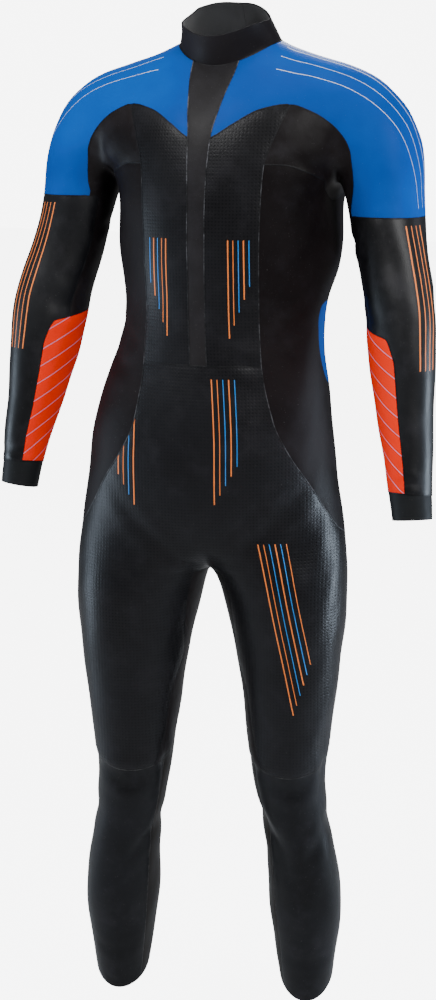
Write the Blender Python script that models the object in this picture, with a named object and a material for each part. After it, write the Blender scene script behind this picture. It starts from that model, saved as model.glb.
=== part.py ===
"""A full-length neoprene swimming suit with a back zip, holding the pose of a swimmer who stands upright.

The garment is one smooth skin laid through rings round the trunk, arms and legs. Seam lines divide the skin
into the panels that a maker cuts, and each panel becomes a wall of its own with a narrow gap at every seam.
Metres, +Z up. The chest faces -Y and the wearer's left is +X. Heights in the tables are above the wearer's
soles, and the finished part is lowered so that its origin lies between the shoulders.
"""
import math
from collections import namedtuple

import bmesh
import bpy
import numpy as np
from mathutils import Matrix, Vector

# Driving sizes.
SHOULDER_HEIGHT = 1.480
BODY_WALL = 0.0030
ARM_WALL = 0.0020
COLLAR_WALL = 0.0025
CUFF_STEP = 0.0006
SEAM_GAP = 0.0003
SKIN_LEVEL = 1

# The hips turn to the wearer's left below the waist.
HIP_TURN = math.radians(14.0)
TURN_TOP = 1.22
TURN_BOTTOM = 1.00
TURN_AXIS_Y = 0.020
HIP_SHIFT_X = -0.016
HIP_SHIFT_Y = -0.014

# Rings round the trunk: heights, half width and depths (y) at the front, side and back.
TrunkRing = namedtuple("TrunkRing", "front_z side_z back_z half_width front_y side_y back_y")
TRUNK = (
    TrunkRing(1.570, 1.594, 1.622, 0.063, -0.046, 0.014, 0.076),
    TrunkRing(1.551, 1.582, 1.600, 0.066, -0.038, 0.023, 0.088),
    TrunkRing(1.531, 1.567, 1.577, 0.073, -0.030, 0.031, 0.100),
    TrunkRing(1.497, 1.545, 1.543, 0.127, -0.058, 0.035, 0.123),
    TrunkRing(1.455, 1.507, 1.490, 0.175, -0.084, 0.037, 0.138),
    TrunkRing(1.400, 1.425, 1.420, 0.182, -0.097, 0.038, 0.144),
    TrunkRing(1.340, 1.345, 1.345, 0.184, -0.101, 0.044, 0.146),
    TrunkRing(1.280, 1.280, 1.280, 0.173, -0.102, 0.039, 0.137),
    TrunkRing(1.210, 1.210, 1.210, 0.146, -0.098, 0.018, 0.114),
    TrunkRing(1.140, 1.140, 1.140, 0.150, -0.098, 0.010, 0.102),
    TrunkRing(1.070, 1.070, 1.070, 0.170, -0.102, 0.010, 0.106),
    TrunkRing(1.000, 1.000, 1.000, 0.179, -0.106, 0.010, 0.118),
    TrunkRing(0.930, 0.930, 0.930, 0.187, -0.104, 0.008, 0.124),
    TrunkRing(0.865, 0.865, 0.865, 0.199, -0.090, 0.006, 0.114),
)
NECK_ROW = 2
ARMHOLE_ROW = 4
TRUNK_COLUMNS = 16
CROTCH_HEIGHT = 0.796

# Rings round the left arm, from the shoulder joint to the end of the cuff. The long half size lies at
# the angle "turn" from the outer side towards the front.
ArmRing = namedtuple("ArmRing", "x y z long_half short_half turn")
ARM = (
    ArmRing(0.184, 0.035, 1.442, 0.090, 0.062, 0.0),
    ArmRing(0.227, 0.030, 1.415, 0.066, 0.060, 0.0),
    ArmRing(0.233, 0.022, 1.352, 0.053, 0.053, 20.0),
    ArmRing(0.244, 0.014, 1.300, 0.052, 0.049, 40.0),
    ArmRing(0.256, 0.004, 1.252, 0.053, 0.046, 40.0),
    ArmRing(0.267, -0.008, 1.208, 0.056, 0.045, 40.0),
    ArmRing(0.273, -0.018, 1.155, 0.057, 0.043, 40.0),
    ArmRing(0.280, -0.027, 1.100, 0.049, 0.040, 40.0),
    ArmRing(0.288, -0.037, 1.045, 0.041, 0.036, 40.0),
    ArmRing(0.296, -0.047, 1.000, 0.035, 0.032, 30.0),
    ArmRing(0.301, -0.053, 0.959, 0.0300, 0.0290, 0.0),
    ArmRing(0.305, -0.059, 0.923, 0.0280, 0.0280, 0.0),
)
ARM_COLUMNS = 8
CUFF_ROW = 10

# Rings round the left leg, from below the crotch to the hem, which is low in front and high behind.
LegRing = namedtuple("LegRing", "front_z back_z x y long_half short_half turn")
LEG = (
    LegRing(0.800, 0.795, 0.106, 0.006, 0.098, 0.090, 35.0),
    LegRing(0.735, 0.735, 0.113, 0.004, 0.091, 0.080, 35.0),
    LegRing(0.665, 0.665, 0.116, 0.000, 0.080, 0.070, 35.0),
    LegRing(0.595, 0.595, 0.117, -0.004, 0.069, 0.063, 35.0),
    LegRing(0.530, 0.530, 0.116, -0.006, 0.060, 0.057, 35.0),
    LegRing(0.465, 0.465, 0.120, -0.002, 0.053, 0.051, 35.0),
    LegRing(0.400, 0.400, 0.133, 0.006, 0.050, 0.049, 35.0),
    LegRing(0.335, 0.335, 0.141, 0.014, 0.057, 0.052, 35.0),
    LegRing(0.272, 0.280, 0.144, 0.018, 0.060, 0.054, 35.0),
    LegRing(0.202, 0.240, 0.1455, 0.020, 0.052, 0.048, 35.0),
    LegRing(0.122, 0.205, 0.146, 0.022, 0.043, 0.041, 35.0),
)
LEG_COLUMNS = 10

# Seam lines. Each row is a height and the distance from the centre line there.
SeamPoint = namedtuple("SeamPoint", "z away")
THROAT_STRIP = (SeamPoint(1.095, 0.012), SeamPoint(1.350, 0.013), SeamPoint(1.437, 0.0165),
                SeamPoint(1.480, 0.024), SeamPoint(1.531, 0.033), SeamPoint(1.600, 0.036))
FRONT_SIDE_SEAM = (SeamPoint(0.850, 0.240), SeamPoint(0.872, 0.199), SeamPoint(0.910, 0.173),
                   SeamPoint(0.955, 0.148), SeamPoint(1.000, 0.120), SeamPoint(1.045, 0.100),
                   SeamPoint(1.134, 0.086), SeamPoint(1.200, 0.085), SeamPoint(1.280, 0.086),
                   SeamPoint(1.350, 0.088), SeamPoint(1.400, 0.091), SeamPoint(1.440, 0.103),
                   SeamPoint(1.480, 0.118))
BACK_SIDE_SEAM = (SeamPoint(0.850, 0.240), SeamPoint(0.872, 0.199), SeamPoint(0.930, 0.165),
                  SeamPoint(1.000, 0.128), SeamPoint(1.100, 0.102), SeamPoint(1.300, 0.100),
                  SeamPoint(1.480, 0.112))
# The lower edge of the shoulder cap and the two edges of the lumbar panel: distance and height.
EdgePoint = namedtuple("EdgePoint", "away z")
YOKE_EDGE = (EdgePoint(0.000, 1.432), EdgePoint(0.017, 1.437), EdgePoint(0.045, 1.455),
             EdgePoint(0.080, 1.474), EdgePoint(0.115, 1.481), EdgePoint(0.145, 1.472),
             EdgePoint(0.172, 1.455), EdgePoint(0.190, 1.434), EdgePoint(0.200, 1.412),
             EdgePoint(0.300, 1.300))
CAP_INNER_EDGE = (SeamPoint(1.300, 0.192), SeamPoint(1.340, 0.195), SeamPoint(1.375, 0.200),
                  SeamPoint(1.420, 0.1965))
GUSSET_EDGE = (EdgePoint(0.080, 1.402), EdgePoint(0.115, 1.401), EdgePoint(0.145, 1.390),
               EdgePoint(0.172, 1.364), EdgePoint(0.200, 1.330))
LUMBAR_TOP = (EdgePoint(0.000, 1.235), EdgePoint(0.080, 1.228), EdgePoint(0.150, 1.180))
LUMBAR_BOTTOM = (EdgePoint(0.000, 1.070), EdgePoint(0.080, 1.077), EdgePoint(0.150, 1.122))
LUMBAR_FRONT_Y = 0.025

WAIST_SEAM_HEIGHT = 1.126
CAP_HEM_HEIGHT = {"left": 1.331, "right": 1.351}
ZIP_TAPE_WIDTH = 0.013
SEAT_EDGE_HEIGHT = 0.812
CROTCH_SEAM_HEIGHT = 0.818
CROTCH_HALF_WIDTH = 0.075
CROTCH_BACK_Y = 0.030
KNEE_SEAM_HEIGHT = 0.507
KNEE_BACK_HEIGHT = 0.590

# Seams along the limbs: height and angle in degrees, 0 at the outer side, 90 in front, 180 inside.
LimbSeam = namedtuple("LimbSeam", "z angle")
THIGH_INNER_SEAM = (LimbSeam(0.510, 128.0), LimbSeam(0.560, 146.0), LimbSeam(0.630, 153.0),
                    LimbSeam(0.680, 168.0), LimbSeam(0.740, 157.0), LimbSeam(0.815, 146.0),
                    LimbSeam(0.900, 144.0))
THIGH_OUTER_SEAM = (LimbSeam(0.700, -12.0), LimbSeam(0.800, -9.0), LimbSeam(0.865, 0.0))
CALF_INNER_SEAM = (LimbSeam(0.150, 142.0), LimbSeam(0.260, 144.0), LimbSeam(0.360, 147.0),
                   LimbSeam(0.480, 151.0), LimbSeam(0.560, 158.0))
CALF_OUTER_ANGLE = -22.0
UNDERARM_FRONT_SEAM = (LimbSeam(1.180, 156.0), LimbSeam(1.260, 157.0), LimbSeam(1.338, 146.0))
UNDERARM_BACK_SEAM = (LimbSeam(1.180, 215.0), LimbSeam(1.260, 215.0), LimbSeam(1.338, 222.0))
FOREARM_TOP_HEIGHT = 1.170
FOREARM_TOP_RISE = 0.018
FOREARM_CORNER_DROP = 0.030
FOREARM_CORNER = 16.0

# The orange panel starts further round on the right arm, which is rolled inwards a little.
FOREARM_FRONT_ANGLE = {"left": 88.0, "right": 112.0}
FOREARM_WIDTH_ANGLE = 128.0

# Zip slider and its pull tab.
SLIDER_WIDTH = 0.011
SLIDER_LENGTH = 0.015
SLIDER_THICKNESS = 0.0028
SLIDER_HEIGHT = 1.553
PIN_RADIUS = 0.0011
PIN_RISE = 0.0034
CHEEK_THICKNESS = 0.0016
PULL_WIDTH = 0.0058
PULL_LENGTH = 0.030
PULL_THICKNESS = 0.0018
PULL_EYE_RADIUS = 0.0024
TONGUE_STEP = 0.0003
RUNNING_GAP = 0.0005

# The closing tab across the collar's ends: its edges' heights and half its width.
TAB_HALF_WIDTH = 0.030
TAB_LOW_HEIGHT = 1.587
TAB_HIGH_HEIGHT = 1.612
TAB_WALL = 0.0015

SMOOTH_LOOP = {count: 3.0 / (2.0 + math.cos(math.tau / count)) for count in (8, 10, 16)}

# Colour, roughness of each finish.
FINISHES = {
    "black": ((0.012, 0.012, 0.015, 1.0), 0.42),
    "brown black": ((0.020, 0.015, 0.018, 1.0), 0.46),
    "blue": ((0.005, 0.130, 0.560, 1.0), 0.40),
    "dark blue": ((0.010, 0.045, 0.180, 1.0), 0.50),
    "orange": ((0.900, 0.060, 0.010, 1.0), 0.50),
    "grey black": ((0.022, 0.022, 0.026, 1.0), 0.55),
    "metal": ((0.300, 0.300, 0.310, 1.0), 0.35),
}
ARM_PANELS = ("sleeve", "underarm", "forearm", "cuff")


def clear_scene():
    for item in list(bpy.data.objects):
        bpy.data.objects.remove(item, do_unlink=True)


def finish(name):
    """The Principled material of one finish, made once."""
    material = bpy.data.materials.get(name)
    if material is None:
        colour, roughness = FINISHES[name]
        material = bpy.data.materials.new(name)
        material.use_nodes = True
        shader = material.node_tree.nodes["Principled BSDF"]
        shader.inputs["Base Color"].default_value = colour
        shader.inputs["Roughness"].default_value = roughness
        shader.inputs["Metallic"].default_value = 1.0 if name == "metal" else 0.0
    return material


def place(name, bm, colour_name, smooth=True):
    """Turns a mesh in wearer heights into a named object of the part."""
    bmesh.ops.translate(bm, vec=(0.0, 0.0, -SHOULDER_HEIGHT), verts=bm.verts)
    mesh = bpy.data.meshes.new(name)
    bm.to_mesh(mesh)
    bm.free()
    if smooth:
        mesh.shade_smooth()
        mesh.set_sharp_from_angle(angle=math.radians(40.0))
    mesh.materials.append(finish(colour_name))
    item = bpy.data.objects.new(name, mesh)
    bpy.context.collection.objects.link(item)
    return item


# ---------------------------------------------------------------- the skin

def trunk_point(ring, column):
    """A point of a trunk ring. Column 0 is the front centre, and they run towards the left side."""
    angle = math.tau * column / TRUNK_COLUMNS
    across, ahead = math.sin(angle), math.cos(angle)
    spread = SMOOTH_LOOP[TRUNK_COLUMNS]
    end_y, end_z = (ring.front_y, ring.front_z) if ahead > 0.0 else (ring.back_y, ring.back_z)
    return Vector((ring.half_width * spread * across,
                   ring.side_y + (end_y - ring.side_y) * spread * abs(ahead),
                   ring.side_z + (end_z - ring.side_z) * ahead * ahead))


def ellipse_offset(long_half, short_half, turn, angle):
    """Outward and forward parts of an ellipse's point, for a long axis turned from the outer side."""
    around = angle - turn
    along, beside = long_half * math.cos(around), short_half * math.sin(around)
    return (along * math.cos(turn) - beside * math.sin(turn),
            along * math.sin(turn) + beside * math.cos(turn))


def arm_ring_points(row):
    """Points of a left arm ring, from its outer side round the back, square to the arm's line."""
    ring = ARM[row]
    centre = Vector((ring.x, ring.y, ring.z))
    before, after = ARM[max(row - 1, 0)], ARM[min(row + 1, len(ARM) - 1)]
    along = Vector((after.x - before.x, after.y - before.y, after.z - before.z)).normalized()
    if row == 0:
        along = Vector((0.90, -0.06, -0.42)).normalized()
    ahead = (Vector((0.0, -1.0, 0.0)) - along * -along.y).normalized()
    outward = ahead.cross(along)
    spread = SMOOTH_LOOP[ARM_COLUMNS]
    points = []
    for column in range(ARM_COLUMNS):
        angle = -math.tau * column / ARM_COLUMNS
        out, fore = ellipse_offset(ring.long_half, ring.short_half, math.radians(ring.turn), angle)
        points.append(centre + outward * out * spread + ahead * fore * spread)
    return points


def leg_ring_points(ring):
    """Points of a left leg ring, from the inner front round the outer side to the inner side."""
    spread = SMOOTH_LOOP[LEG_COLUMNS]
    points = []
    for column in range(LEG_COLUMNS):
        angle = math.tau * (4 - column) / LEG_COLUMNS
        out, fore = ellipse_offset(ring.long_half, ring.short_half, math.radians(ring.turn), angle)
        rise = (ring.front_z + ring.back_z) / 2.0 + (ring.front_z - ring.back_z) / 2.0 * math.sin(angle)
        points.append(Vector((ring.x + out * spread, ring.y - fore * spread, rise)))
    return points


def mirrored(points, side):
    return [Vector((point.x * side, point.y, point.z)) for point in points]


def tube(cage, loop, rings, side, region):
    """Joins a loop of the cage to rings of points, one after another, facing outwards."""
    layer = cage.faces.layers.int["panel"]
    for points in rings:
        following = [cage.verts.new(point) for point in points]
        count = len(loop)
        for index in range(count):
            after = (index + 1) % count
            corners = [loop[index], following[index], following[after], loop[after]]
            face = cage.faces.new(corners if side > 0 else corners[::-1])
            face[layer] = PANELS.index(region)
        loop = following


def skin_cage():
    """The coarse net of the whole skin: trunk and collar, then arms from the armholes and legs."""
    cage = bmesh.new()
    panel = cage.faces.layers.int.new("panel")
    crease = cage.edges.layers.float.new("crease_edge")
    trunk = [[trunk_point(ring, column) for column in range(TRUNK_COLUMNS)] for ring in TRUNK]
    first, quarter = ARMHOLE_ROW, TRUNK_COLUMNS // 4
    armhole = ((0, 0), (0, 1), (1, 1), (2, 1), (2, 0), (2, -1), (1, -1), (0, -1))
    shoulder = arm_ring_points(0)
    loops = {}
    for side in (1, -1):
        middle = quarter if side > 0 else TRUNK_COLUMNS - quarter
        loops[side] = [(first + down, middle + along * side) for down, along in armhole]
        for (row, column), point in zip(loops[side], mirrored(shoulder, side)):
            trunk[row][column] = point
        trunk[first + 1][middle] = None
    net = [[cage.verts.new(point) if point else None for point in points] for points in trunk]
    for row in range(len(net) - 1):
        for column in range(TRUNK_COLUMNS):
            after = (column + 1) % TRUNK_COLUMNS
            corners = (net[row][column], net[row + 1][column], net[row + 1][after], net[row][after])
            if all(corners):
                face = cage.faces.new(corners)
                face[panel] = PANELS.index("collar" if row < NECK_ROW else "trunk")
    for side in (1, -1):
        arm_loop = [net[row][column] for row, column in loops[side]]
        rings = [mirrored(arm_ring_points(row), side) for row in range(1, len(ARM))]
        tube(cage, arm_loop, rings, side, "arm")
    crotch = cage.verts.new((0.0, 0.004, CROTCH_HEIGHT))
    for side in (1, -1):
        leg_loop = [net[-1][(side * column) % TRUNK_COLUMNS] for column in range(LEG_COLUMNS - 1)]
        rings = [mirrored(leg_ring_points(ring), side) for ring in LEG]
        tube(cage, leg_loop + [crotch], rings, side, "leg")
    for column in range(TRUNK_COLUMNS):
        edge = cage.edges.get((net[NECK_ROW][column], net[NECK_ROW][(column + 1) % TRUNK_COLUMNS]))
        edge[crease] = 0.6
    return cage


def smooth_skin(cage, level):
    """Lays the smooth skin through the net and returns it with each face's region."""
    mesh = bpy.data.meshes.new("skin")
    cage.to_mesh(mesh)
    cage.free()
    item = bpy.data.objects.new("skin", mesh)
    bpy.context.collection.objects.link(item)
    smoother = item.modifiers.new("smooth", "SUBSURF")
    smoother.levels = level
    smoother.render_levels = level
    smoother.use_limit_surface = True
    evaluated = item.evaluated_get(bpy.context.evaluated_depsgraph_get())
    skin = bmesh.new()
    skin.from_mesh(evaluated.to_mesh())
    evaluated.to_mesh_clear()
    bpy.data.objects.remove(item, do_unlink=True)
    return skin


# ---------------------------------------------------------------- seam lines

def read_line(line, value, key, result):
    """Reads a table of seam points at many values at once."""
    return np.interp(value, [getattr(row, key) for row in line], [getattr(row, result) for row in line])


def in_front(p):
    heights = [ring.side_z for ring in TRUNK][::-1]
    middles = [ring.side_y for ring in TRUNK][::-1]
    return p[:, 1] < np.interp(p[:, 2], heights, middles)


def arm_angle(p):
    """Angle round the arm from its outer side, and past 180 degrees behind."""
    heights = [ring.z for ring in ARM][::-1]
    centre_x = np.interp(p[:, 2], heights, [ring.x for ring in ARM][::-1])
    centre_y = np.interp(p[:, 2], heights, [ring.y for ring in ARM][::-1])
    angle = np.degrees(np.arctan2(centre_y - p[:, 1], np.abs(p[:, 0]) - centre_x))
    return np.where(angle < -60.0, angle + 360.0, angle)


def leg_angle(p):
    """Angle round the leg from its outer side: 90 in front, 180 inside, down to -90 behind."""
    heights = [(ring.front_z + ring.back_z) / 2.0 for ring in LEG][::-1]
    centre_x = np.interp(p[:, 2], heights, [ring.x for ring in LEG][::-1])
    centre_y = np.interp(p[:, 2], heights, [ring.y for ring in LEG][::-1])
    angle = np.degrees(np.arctan2(centre_y - p[:, 1], np.abs(p[:, 0]) - centre_x))
    return np.where(angle < -90.0, angle + 360.0, angle)


def on_throat_strip(p):
    return in_front(p) & (np.abs(p[:, 0]) < read_line(THROAT_STRIP, p[:, 2], "z", "away"))


def on_zip_tape(p):
    return ~in_front(p) & (np.abs(p[:, 0]) < ZIP_TAPE_WIDTH)


def under_collar_tab(p):
    return ~in_front(p) & (np.abs(p[:, 0]) < TAB_HALF_WIDTH)


def between_tab_edges(p):
    return (p[:, 2] > TAB_LOW_HEIGHT) & (p[:, 2] < TAB_HIGH_HEIGHT)


def above_cap_hem(p):
    return p[:, 2] > np.where(p[:, 0] > 0.0, CAP_HEM_HEIGHT["left"], CAP_HEM_HEIGHT["right"])


def on_shoulder_cap(p):
    """Above the yoke's edge on the chest, and outside the cap's inner edge on the arm."""
    away = np.abs(p[:, 0])
    above = p[:, 2] > read_line(YOKE_EDGE, away, "away", "z")
    outside = away > read_line(CAP_INNER_EDGE, p[:, 2], "z", "away")
    return above_cap_hem(p) & np.where(p[:, 2] > CAP_INNER_EDGE[-1].z, above, outside)


def on_lumbar(p):
    away = np.abs(p[:, 0])
    low = read_line(LUMBAR_BOTTOM, away, "away", "z")
    high = read_line(LUMBAR_TOP, away, "away", "z")
    return (p[:, 1] > LUMBAR_FRONT_Y) & (p[:, 2] > low) & (p[:, 2] < high)


def on_flank(p):
    away = np.abs(p[:, 0])
    front = read_line(FRONT_SIDE_SEAM, p[:, 2], "z", "away")
    back = read_line(BACK_SIDE_SEAM, p[:, 2], "z", "away")
    return away > np.where(in_front(p), front, back)


def above_gusset(p):
    return p[:, 2] > read_line(GUSSET_EDGE, np.abs(p[:, 0]), "away", "z")


def above_waist_seam(p):
    return p[:, 2] > WAIST_SEAM_HEIGHT


def on_thigh_front(p):
    """Between the seams on the outer and inner thigh, and all the front above the crotch seam."""
    angle = leg_angle(p)
    inner = read_line(THIGH_INNER_SEAM, p[:, 2], "z", "angle")
    outer = read_line(THIGH_OUTER_SEAM, p[:, 2], "z", "angle")
    crotch = (p[:, 2] > CROTCH_SEAM_HEIGHT) & (angle > 90.0)
    return (angle > outer) & ((angle < inner) | crotch & in_front(p))


def above_seat_edge(p):
    """Above the fold under the seat, but not between the thighs in front of the fold."""
    between = (np.abs(p[:, 0]) < CROTCH_HALF_WIDTH) & (p[:, 1] < CROTCH_BACK_Y)
    return (p[:, 2] > SEAT_EDGE_HEIGHT) & ~between


def above_knee_seam(p):
    """The knee seam is a U: nearly level in front, steep at both sides, and level again behind."""
    off = np.abs(leg_angle(p) - 90.0)
    rise = 0.021 * np.minimum(off / 82.0, 1.0) ** 2 + 0.0030 * np.clip(off - 82.0, 0.0, 24.0)
    return p[:, 2] > np.minimum(KNEE_SEAM_HEIGHT + rise, KNEE_BACK_HEIGHT)


def on_shin(p):
    angle = leg_angle(p)
    return (angle > CALF_OUTER_ANGLE) & (angle < read_line(CALF_INNER_SEAM, p[:, 2], "z", "angle"))


def on_forearm_panel(side):
    front_angle = FOREARM_FRONT_ANGLE[side]

    def region(p):
        angle = arm_angle(p) - front_angle
        near_edge = np.clip(1.0 - angle / FOREARM_CORNER, 0.0, 1.0)
        rise = FOREARM_TOP_RISE * np.clip(angle / FOREARM_WIDTH_ANGLE, 0.0, 1.0)
        top = FOREARM_TOP_HEIGHT + rise - FOREARM_CORNER_DROP * near_edge ** 2
        return (angle > 0.0) & (angle < FOREARM_WIDTH_ANGLE) & (p[:, 2] < top)

    return region


def on_underarm(p):
    angle = arm_angle(p)
    front = read_line(UNDERARM_FRONT_SEAM, p[:, 2], "z", "angle")
    back = read_line(UNDERARM_BACK_SEAM, p[:, 2], "z", "angle")
    return (angle > front) & (angle < back) & (p[:, 2] > FOREARM_TOP_HEIGHT) | above_cap_hem(p)


def above_cuff(p):
    row = ARM[CUFF_ROW]
    tilt = (ARM[CUFF_ROW].y - ARM[CUFF_ROW + 1].y) / (ARM[CUFF_ROW].z - ARM[CUFF_ROW + 1].z)
    return p[:, 2] - row.z + tilt * (p[:, 1] - row.y) > 0.0


# ---------------------------------------------------------------- cutting the skin into panels

PANELS = ["trunk", "low_trunk", "arm", "leg", "collar", "centre_front", "front", "front_lower", "side",
          "shoulder", "back", "lumbar", "seat", "thigh_back", "shin", "calf", "sleeve", "underarm", "forearm",
          "cuff", "zip_tape", "collar_tab"]
SNAP = 0.25


def sides(region, points):
    return region(np.array([tuple(point) for point in points]).reshape(-1, 3))


def crossings(region, pairs):
    """Where each pair's line crosses the region's edge, as a fraction of the way along."""
    start = np.array([tuple(a) for a, b in pairs]).reshape(-1, 3)
    end = np.array([tuple(b) for a, b in pairs]).reshape(-1, 3)
    first = region(start)
    low, high = np.zeros(len(pairs)), np.ones(len(pairs))
    for _ in range(14):
        middle = (low + high) / 2.0
        same = region(start + (end - start) * middle[:, None]) == first
        low, high = np.where(same, middle, low), np.where(same, high, middle)
    return (low + high) / 2.0


def is_free(vert, layer):
    """A vertex may slide if it lies inside one panel."""
    return not vert.is_boundary and len({face[layer] for face in vert.link_faces}) == 1


def cut(skin, region, among, inside_name, outside_name=None, half=None):
    """Cuts faces of one panel along a region's edge, and renames the two parts."""
    layer = skin.faces.layers.int["panel"]
    source = PANELS.index(among)
    faces = [face for face in skin.faces if face[layer] == source]
    if half:
        faces = [face for face in faces if face.calc_center_median().x * half > 0.0]
    verts = list({vert for face in faces for vert in face.verts})
    side = dict(zip(verts, (bool(value) for value in sides(region, [vert.co for vert in verts]))))
    edges = list({edge for face in faces for edge in face.edges})
    crossed = [edge for edge in edges if side[edge.verts[0]] != side[edge.verts[1]]]
    nearest = {}
    if crossed:
        shares = crossings(region, [(edge.verts[0].co, edge.verts[1].co) for edge in crossed])
        for edge, share in zip(crossed, shares):
            start, end = edge.verts
            near, part = (start, share) if share < 0.5 else (end, 1.0 - share)
            reach = SNAP if is_free(near, layer) else 0.06
            if part < reach and part < nearest.get(near, (1.0, None))[0]:
                nearest[near] = (part, start.co.lerp(end.co, share) if reach == SNAP else near.co.copy())
    for vert, (part, point) in nearest.items():
        vert.co = point
    on_line = set(nearest)
    open_edges = [edge for edge in crossed if edge.verts[0] not in on_line and edge.verts[1] not in on_line]
    if open_edges:
        shares = crossings(region, [(edge.verts[0].co, edge.verts[1].co) for edge in open_edges])
        for edge, share in zip(open_edges, shares):
            new_edge, new_vert = bmesh.utils.edge_split(edge, edge.verts[0], float(share))
            on_line.add(new_vert)
    waiting, done = list(faces), []
    while waiting:
        face = waiting.pop()
        corners = list(face.verts)
        states = [None if corner in on_line else side[corner] for corner in corners]
        if True in states and False in states:
            count = len(corners)
            first = next(i for i in range(count) if states[i] is True and states[i - 1] is not True)
            last = first
            while states[(last + 1) % count] is True:
                last += 1
            new_face, loop = bmesh.utils.face_split(face, corners[first - 1], corners[(last + 1) % count])
            waiting += [face, new_face]
        else:
            done.append((face, states))
    for face, states in done:
        known = [state for state in states if state is not None]
        inside = known[0] if known else bool(sides(region, [face.calc_center_median()])[0])
        name = inside_name if inside else outside_name
        if name:
            face[layer] = PANELS.index(name)


def sewn_skin(level):
    """The whole skin, smooth and divided along every seam."""
    skin = smooth_skin(skin_cage(), level)
    cut(skin, under_collar_tab, "collar", "collar_tab")
    cut(skin, between_tab_edges, "collar_tab", "collar_tab", "collar")
    cut(skin, above_waist_seam, "trunk", "trunk", "low_trunk")
    cut(skin, on_zip_tape, "trunk", "zip_tape")
    cut(skin, on_throat_strip, "trunk", "centre_front")
    for region in ("trunk", "arm"):
        cut(skin, on_shoulder_cap, region, "shoulder")
    for region in ("trunk", "low_trunk"):
        cut(skin, on_lumbar, region, "lumbar")
    cut(skin, on_flank, "trunk", "side", "back")
    cut(skin, above_gusset, "side", "underarm")
    cut(skin, on_flank, "low_trunk", "side", "seat")
    cut(skin, in_front, "back", "front")
    cut(skin, in_front, "seat", "front_lower")
    cut(skin, above_knee_seam, "leg", "thigh_back", "calf")
    cut(skin, on_thigh_front, "thigh_back", "front_lower")
    cut(skin, above_seat_edge, "thigh_back", "seat")
    cut(skin, on_shin, "calf", "shin")
    cut(skin, above_cuff, "arm", "arm", "cuff")
    for name, half in (("left", 1), ("right", -1)):
        cut(skin, on_forearm_panel(name), "arm", "forearm", half=half)
    cut(skin, on_underarm, "arm", "underarm", "sleeve")
    return skin


# ---------------------------------------------------------------- walls

def turned(point, name):
    """Turns the trunk and legs with the hips. Arms stay where they hang."""
    if name.rsplit("_", 1)[0] in ARM_PANELS:
        return point
    share = min(max((TURN_TOP - point.z) / (TURN_TOP - TURN_BOTTOM), 0.0), 1.0)
    share = share * share * (3.0 - 2.0 * share)
    turn = Matrix.Rotation(HIP_TURN * share, 3, "Z")
    axis = Vector((0.0, TURN_AXIS_Y, 0.0))
    shift = Vector((HIP_SHIFT_X, HIP_SHIFT_Y, 0.0)) * share
    return turn @ (point - axis) + axis + shift


def seam_insets(faces, members, slit):
    """How far each corner on a seam draws back into its own panel."""
    pulls = {}
    for face in faces:
        for loop in face.loops:
            edge = loop.edge
            others = [other for other in edge.link_faces if other is not face]
            if not others or (others[0] in members and edge not in slit):
                continue
            start, end = loop.vert, loop.link_loop_next.vert
            inward = face.normal.cross(end.co - start.co).normalized()
            for vert in (start, end):
                pulls.setdefault((vert, slit_key(face, slit)), []).append(inward)
    insets = {}
    for key, directions in pulls.items():
        total = sum(directions, Vector())
        mean = total / len(directions)
        insets[key] = mean * (SEAM_GAP / 2.0) / max(mean.length_squared, 0.3)
    return insets


def slit_key(face, slit):
    return (face.calc_center_median().x > 0.0) if slit else None


def wall(skin, name, members, thickness, sink=0.0, slit=()):
    """A closed wall under some of the skin's faces. A slit parts the wall along its own edges."""
    slit_verts = {vert for edge in slit for vert in edge.verts}
    insets = seam_insets(members, set(members), set(slit))
    solid = bmesh.new()
    corners = {}

    def pair(vert, face):
        key = (vert, slit_key(face, slit) if vert in slit_verts else None)
        if key not in corners:
            shift = insets.get((vert, slit_key(face, slit)), Vector())
            outer = vert.co - vert.normal * sink + shift
            inner = vert.co - vert.normal * (sink + thickness) + shift
            corners[key] = (solid.verts.new(turned(outer, name)), solid.verts.new(turned(inner, name)))
        return corners[key]

    inside = set(members)
    for face in members:
        pairs = [pair(vert, face) for vert in face.verts]
        solid.faces.new([outer for outer, inner in pairs])
        solid.faces.new([inner for outer, inner in reversed(pairs)])
        for loop in face.loops:
            others = [other for other in loop.edge.link_faces if other is not face]
            if others and others[0] in inside and loop.edge not in slit:
                continue
            start, end = loop.vert, loop.link_loop_next.vert
            (start_out, start_in), (end_out, end_in) = pair(start, face), pair(end, face)
            if tuple(start.co) < tuple(end.co):
                solid.faces.new((end_out, start_out, end_in))
                solid.faces.new((start_out, start_in, end_in))
            else:
                solid.faces.new((end_out, start_out, start_in))
                solid.faces.new((end_out, start_in, end_in))
    return solid


PANEL_FINISH = {
    "collar": "black", "centre_front": "black", "front": "black", "front_lower": "black",
    "side": "brown black", "shoulder": "blue", "back": "black", "lumbar": "dark blue", "seat": "black",
    "thigh_back": "brown black", "shin": "black", "calf": "brown black", "sleeve": "black",
    "underarm": "brown black", "forearm": "orange", "cuff": "grey black", "zip_tape": "grey black",
}
WHOLE_PANELS = ("collar", "centre_front", "front_lower", "seat")


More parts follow.
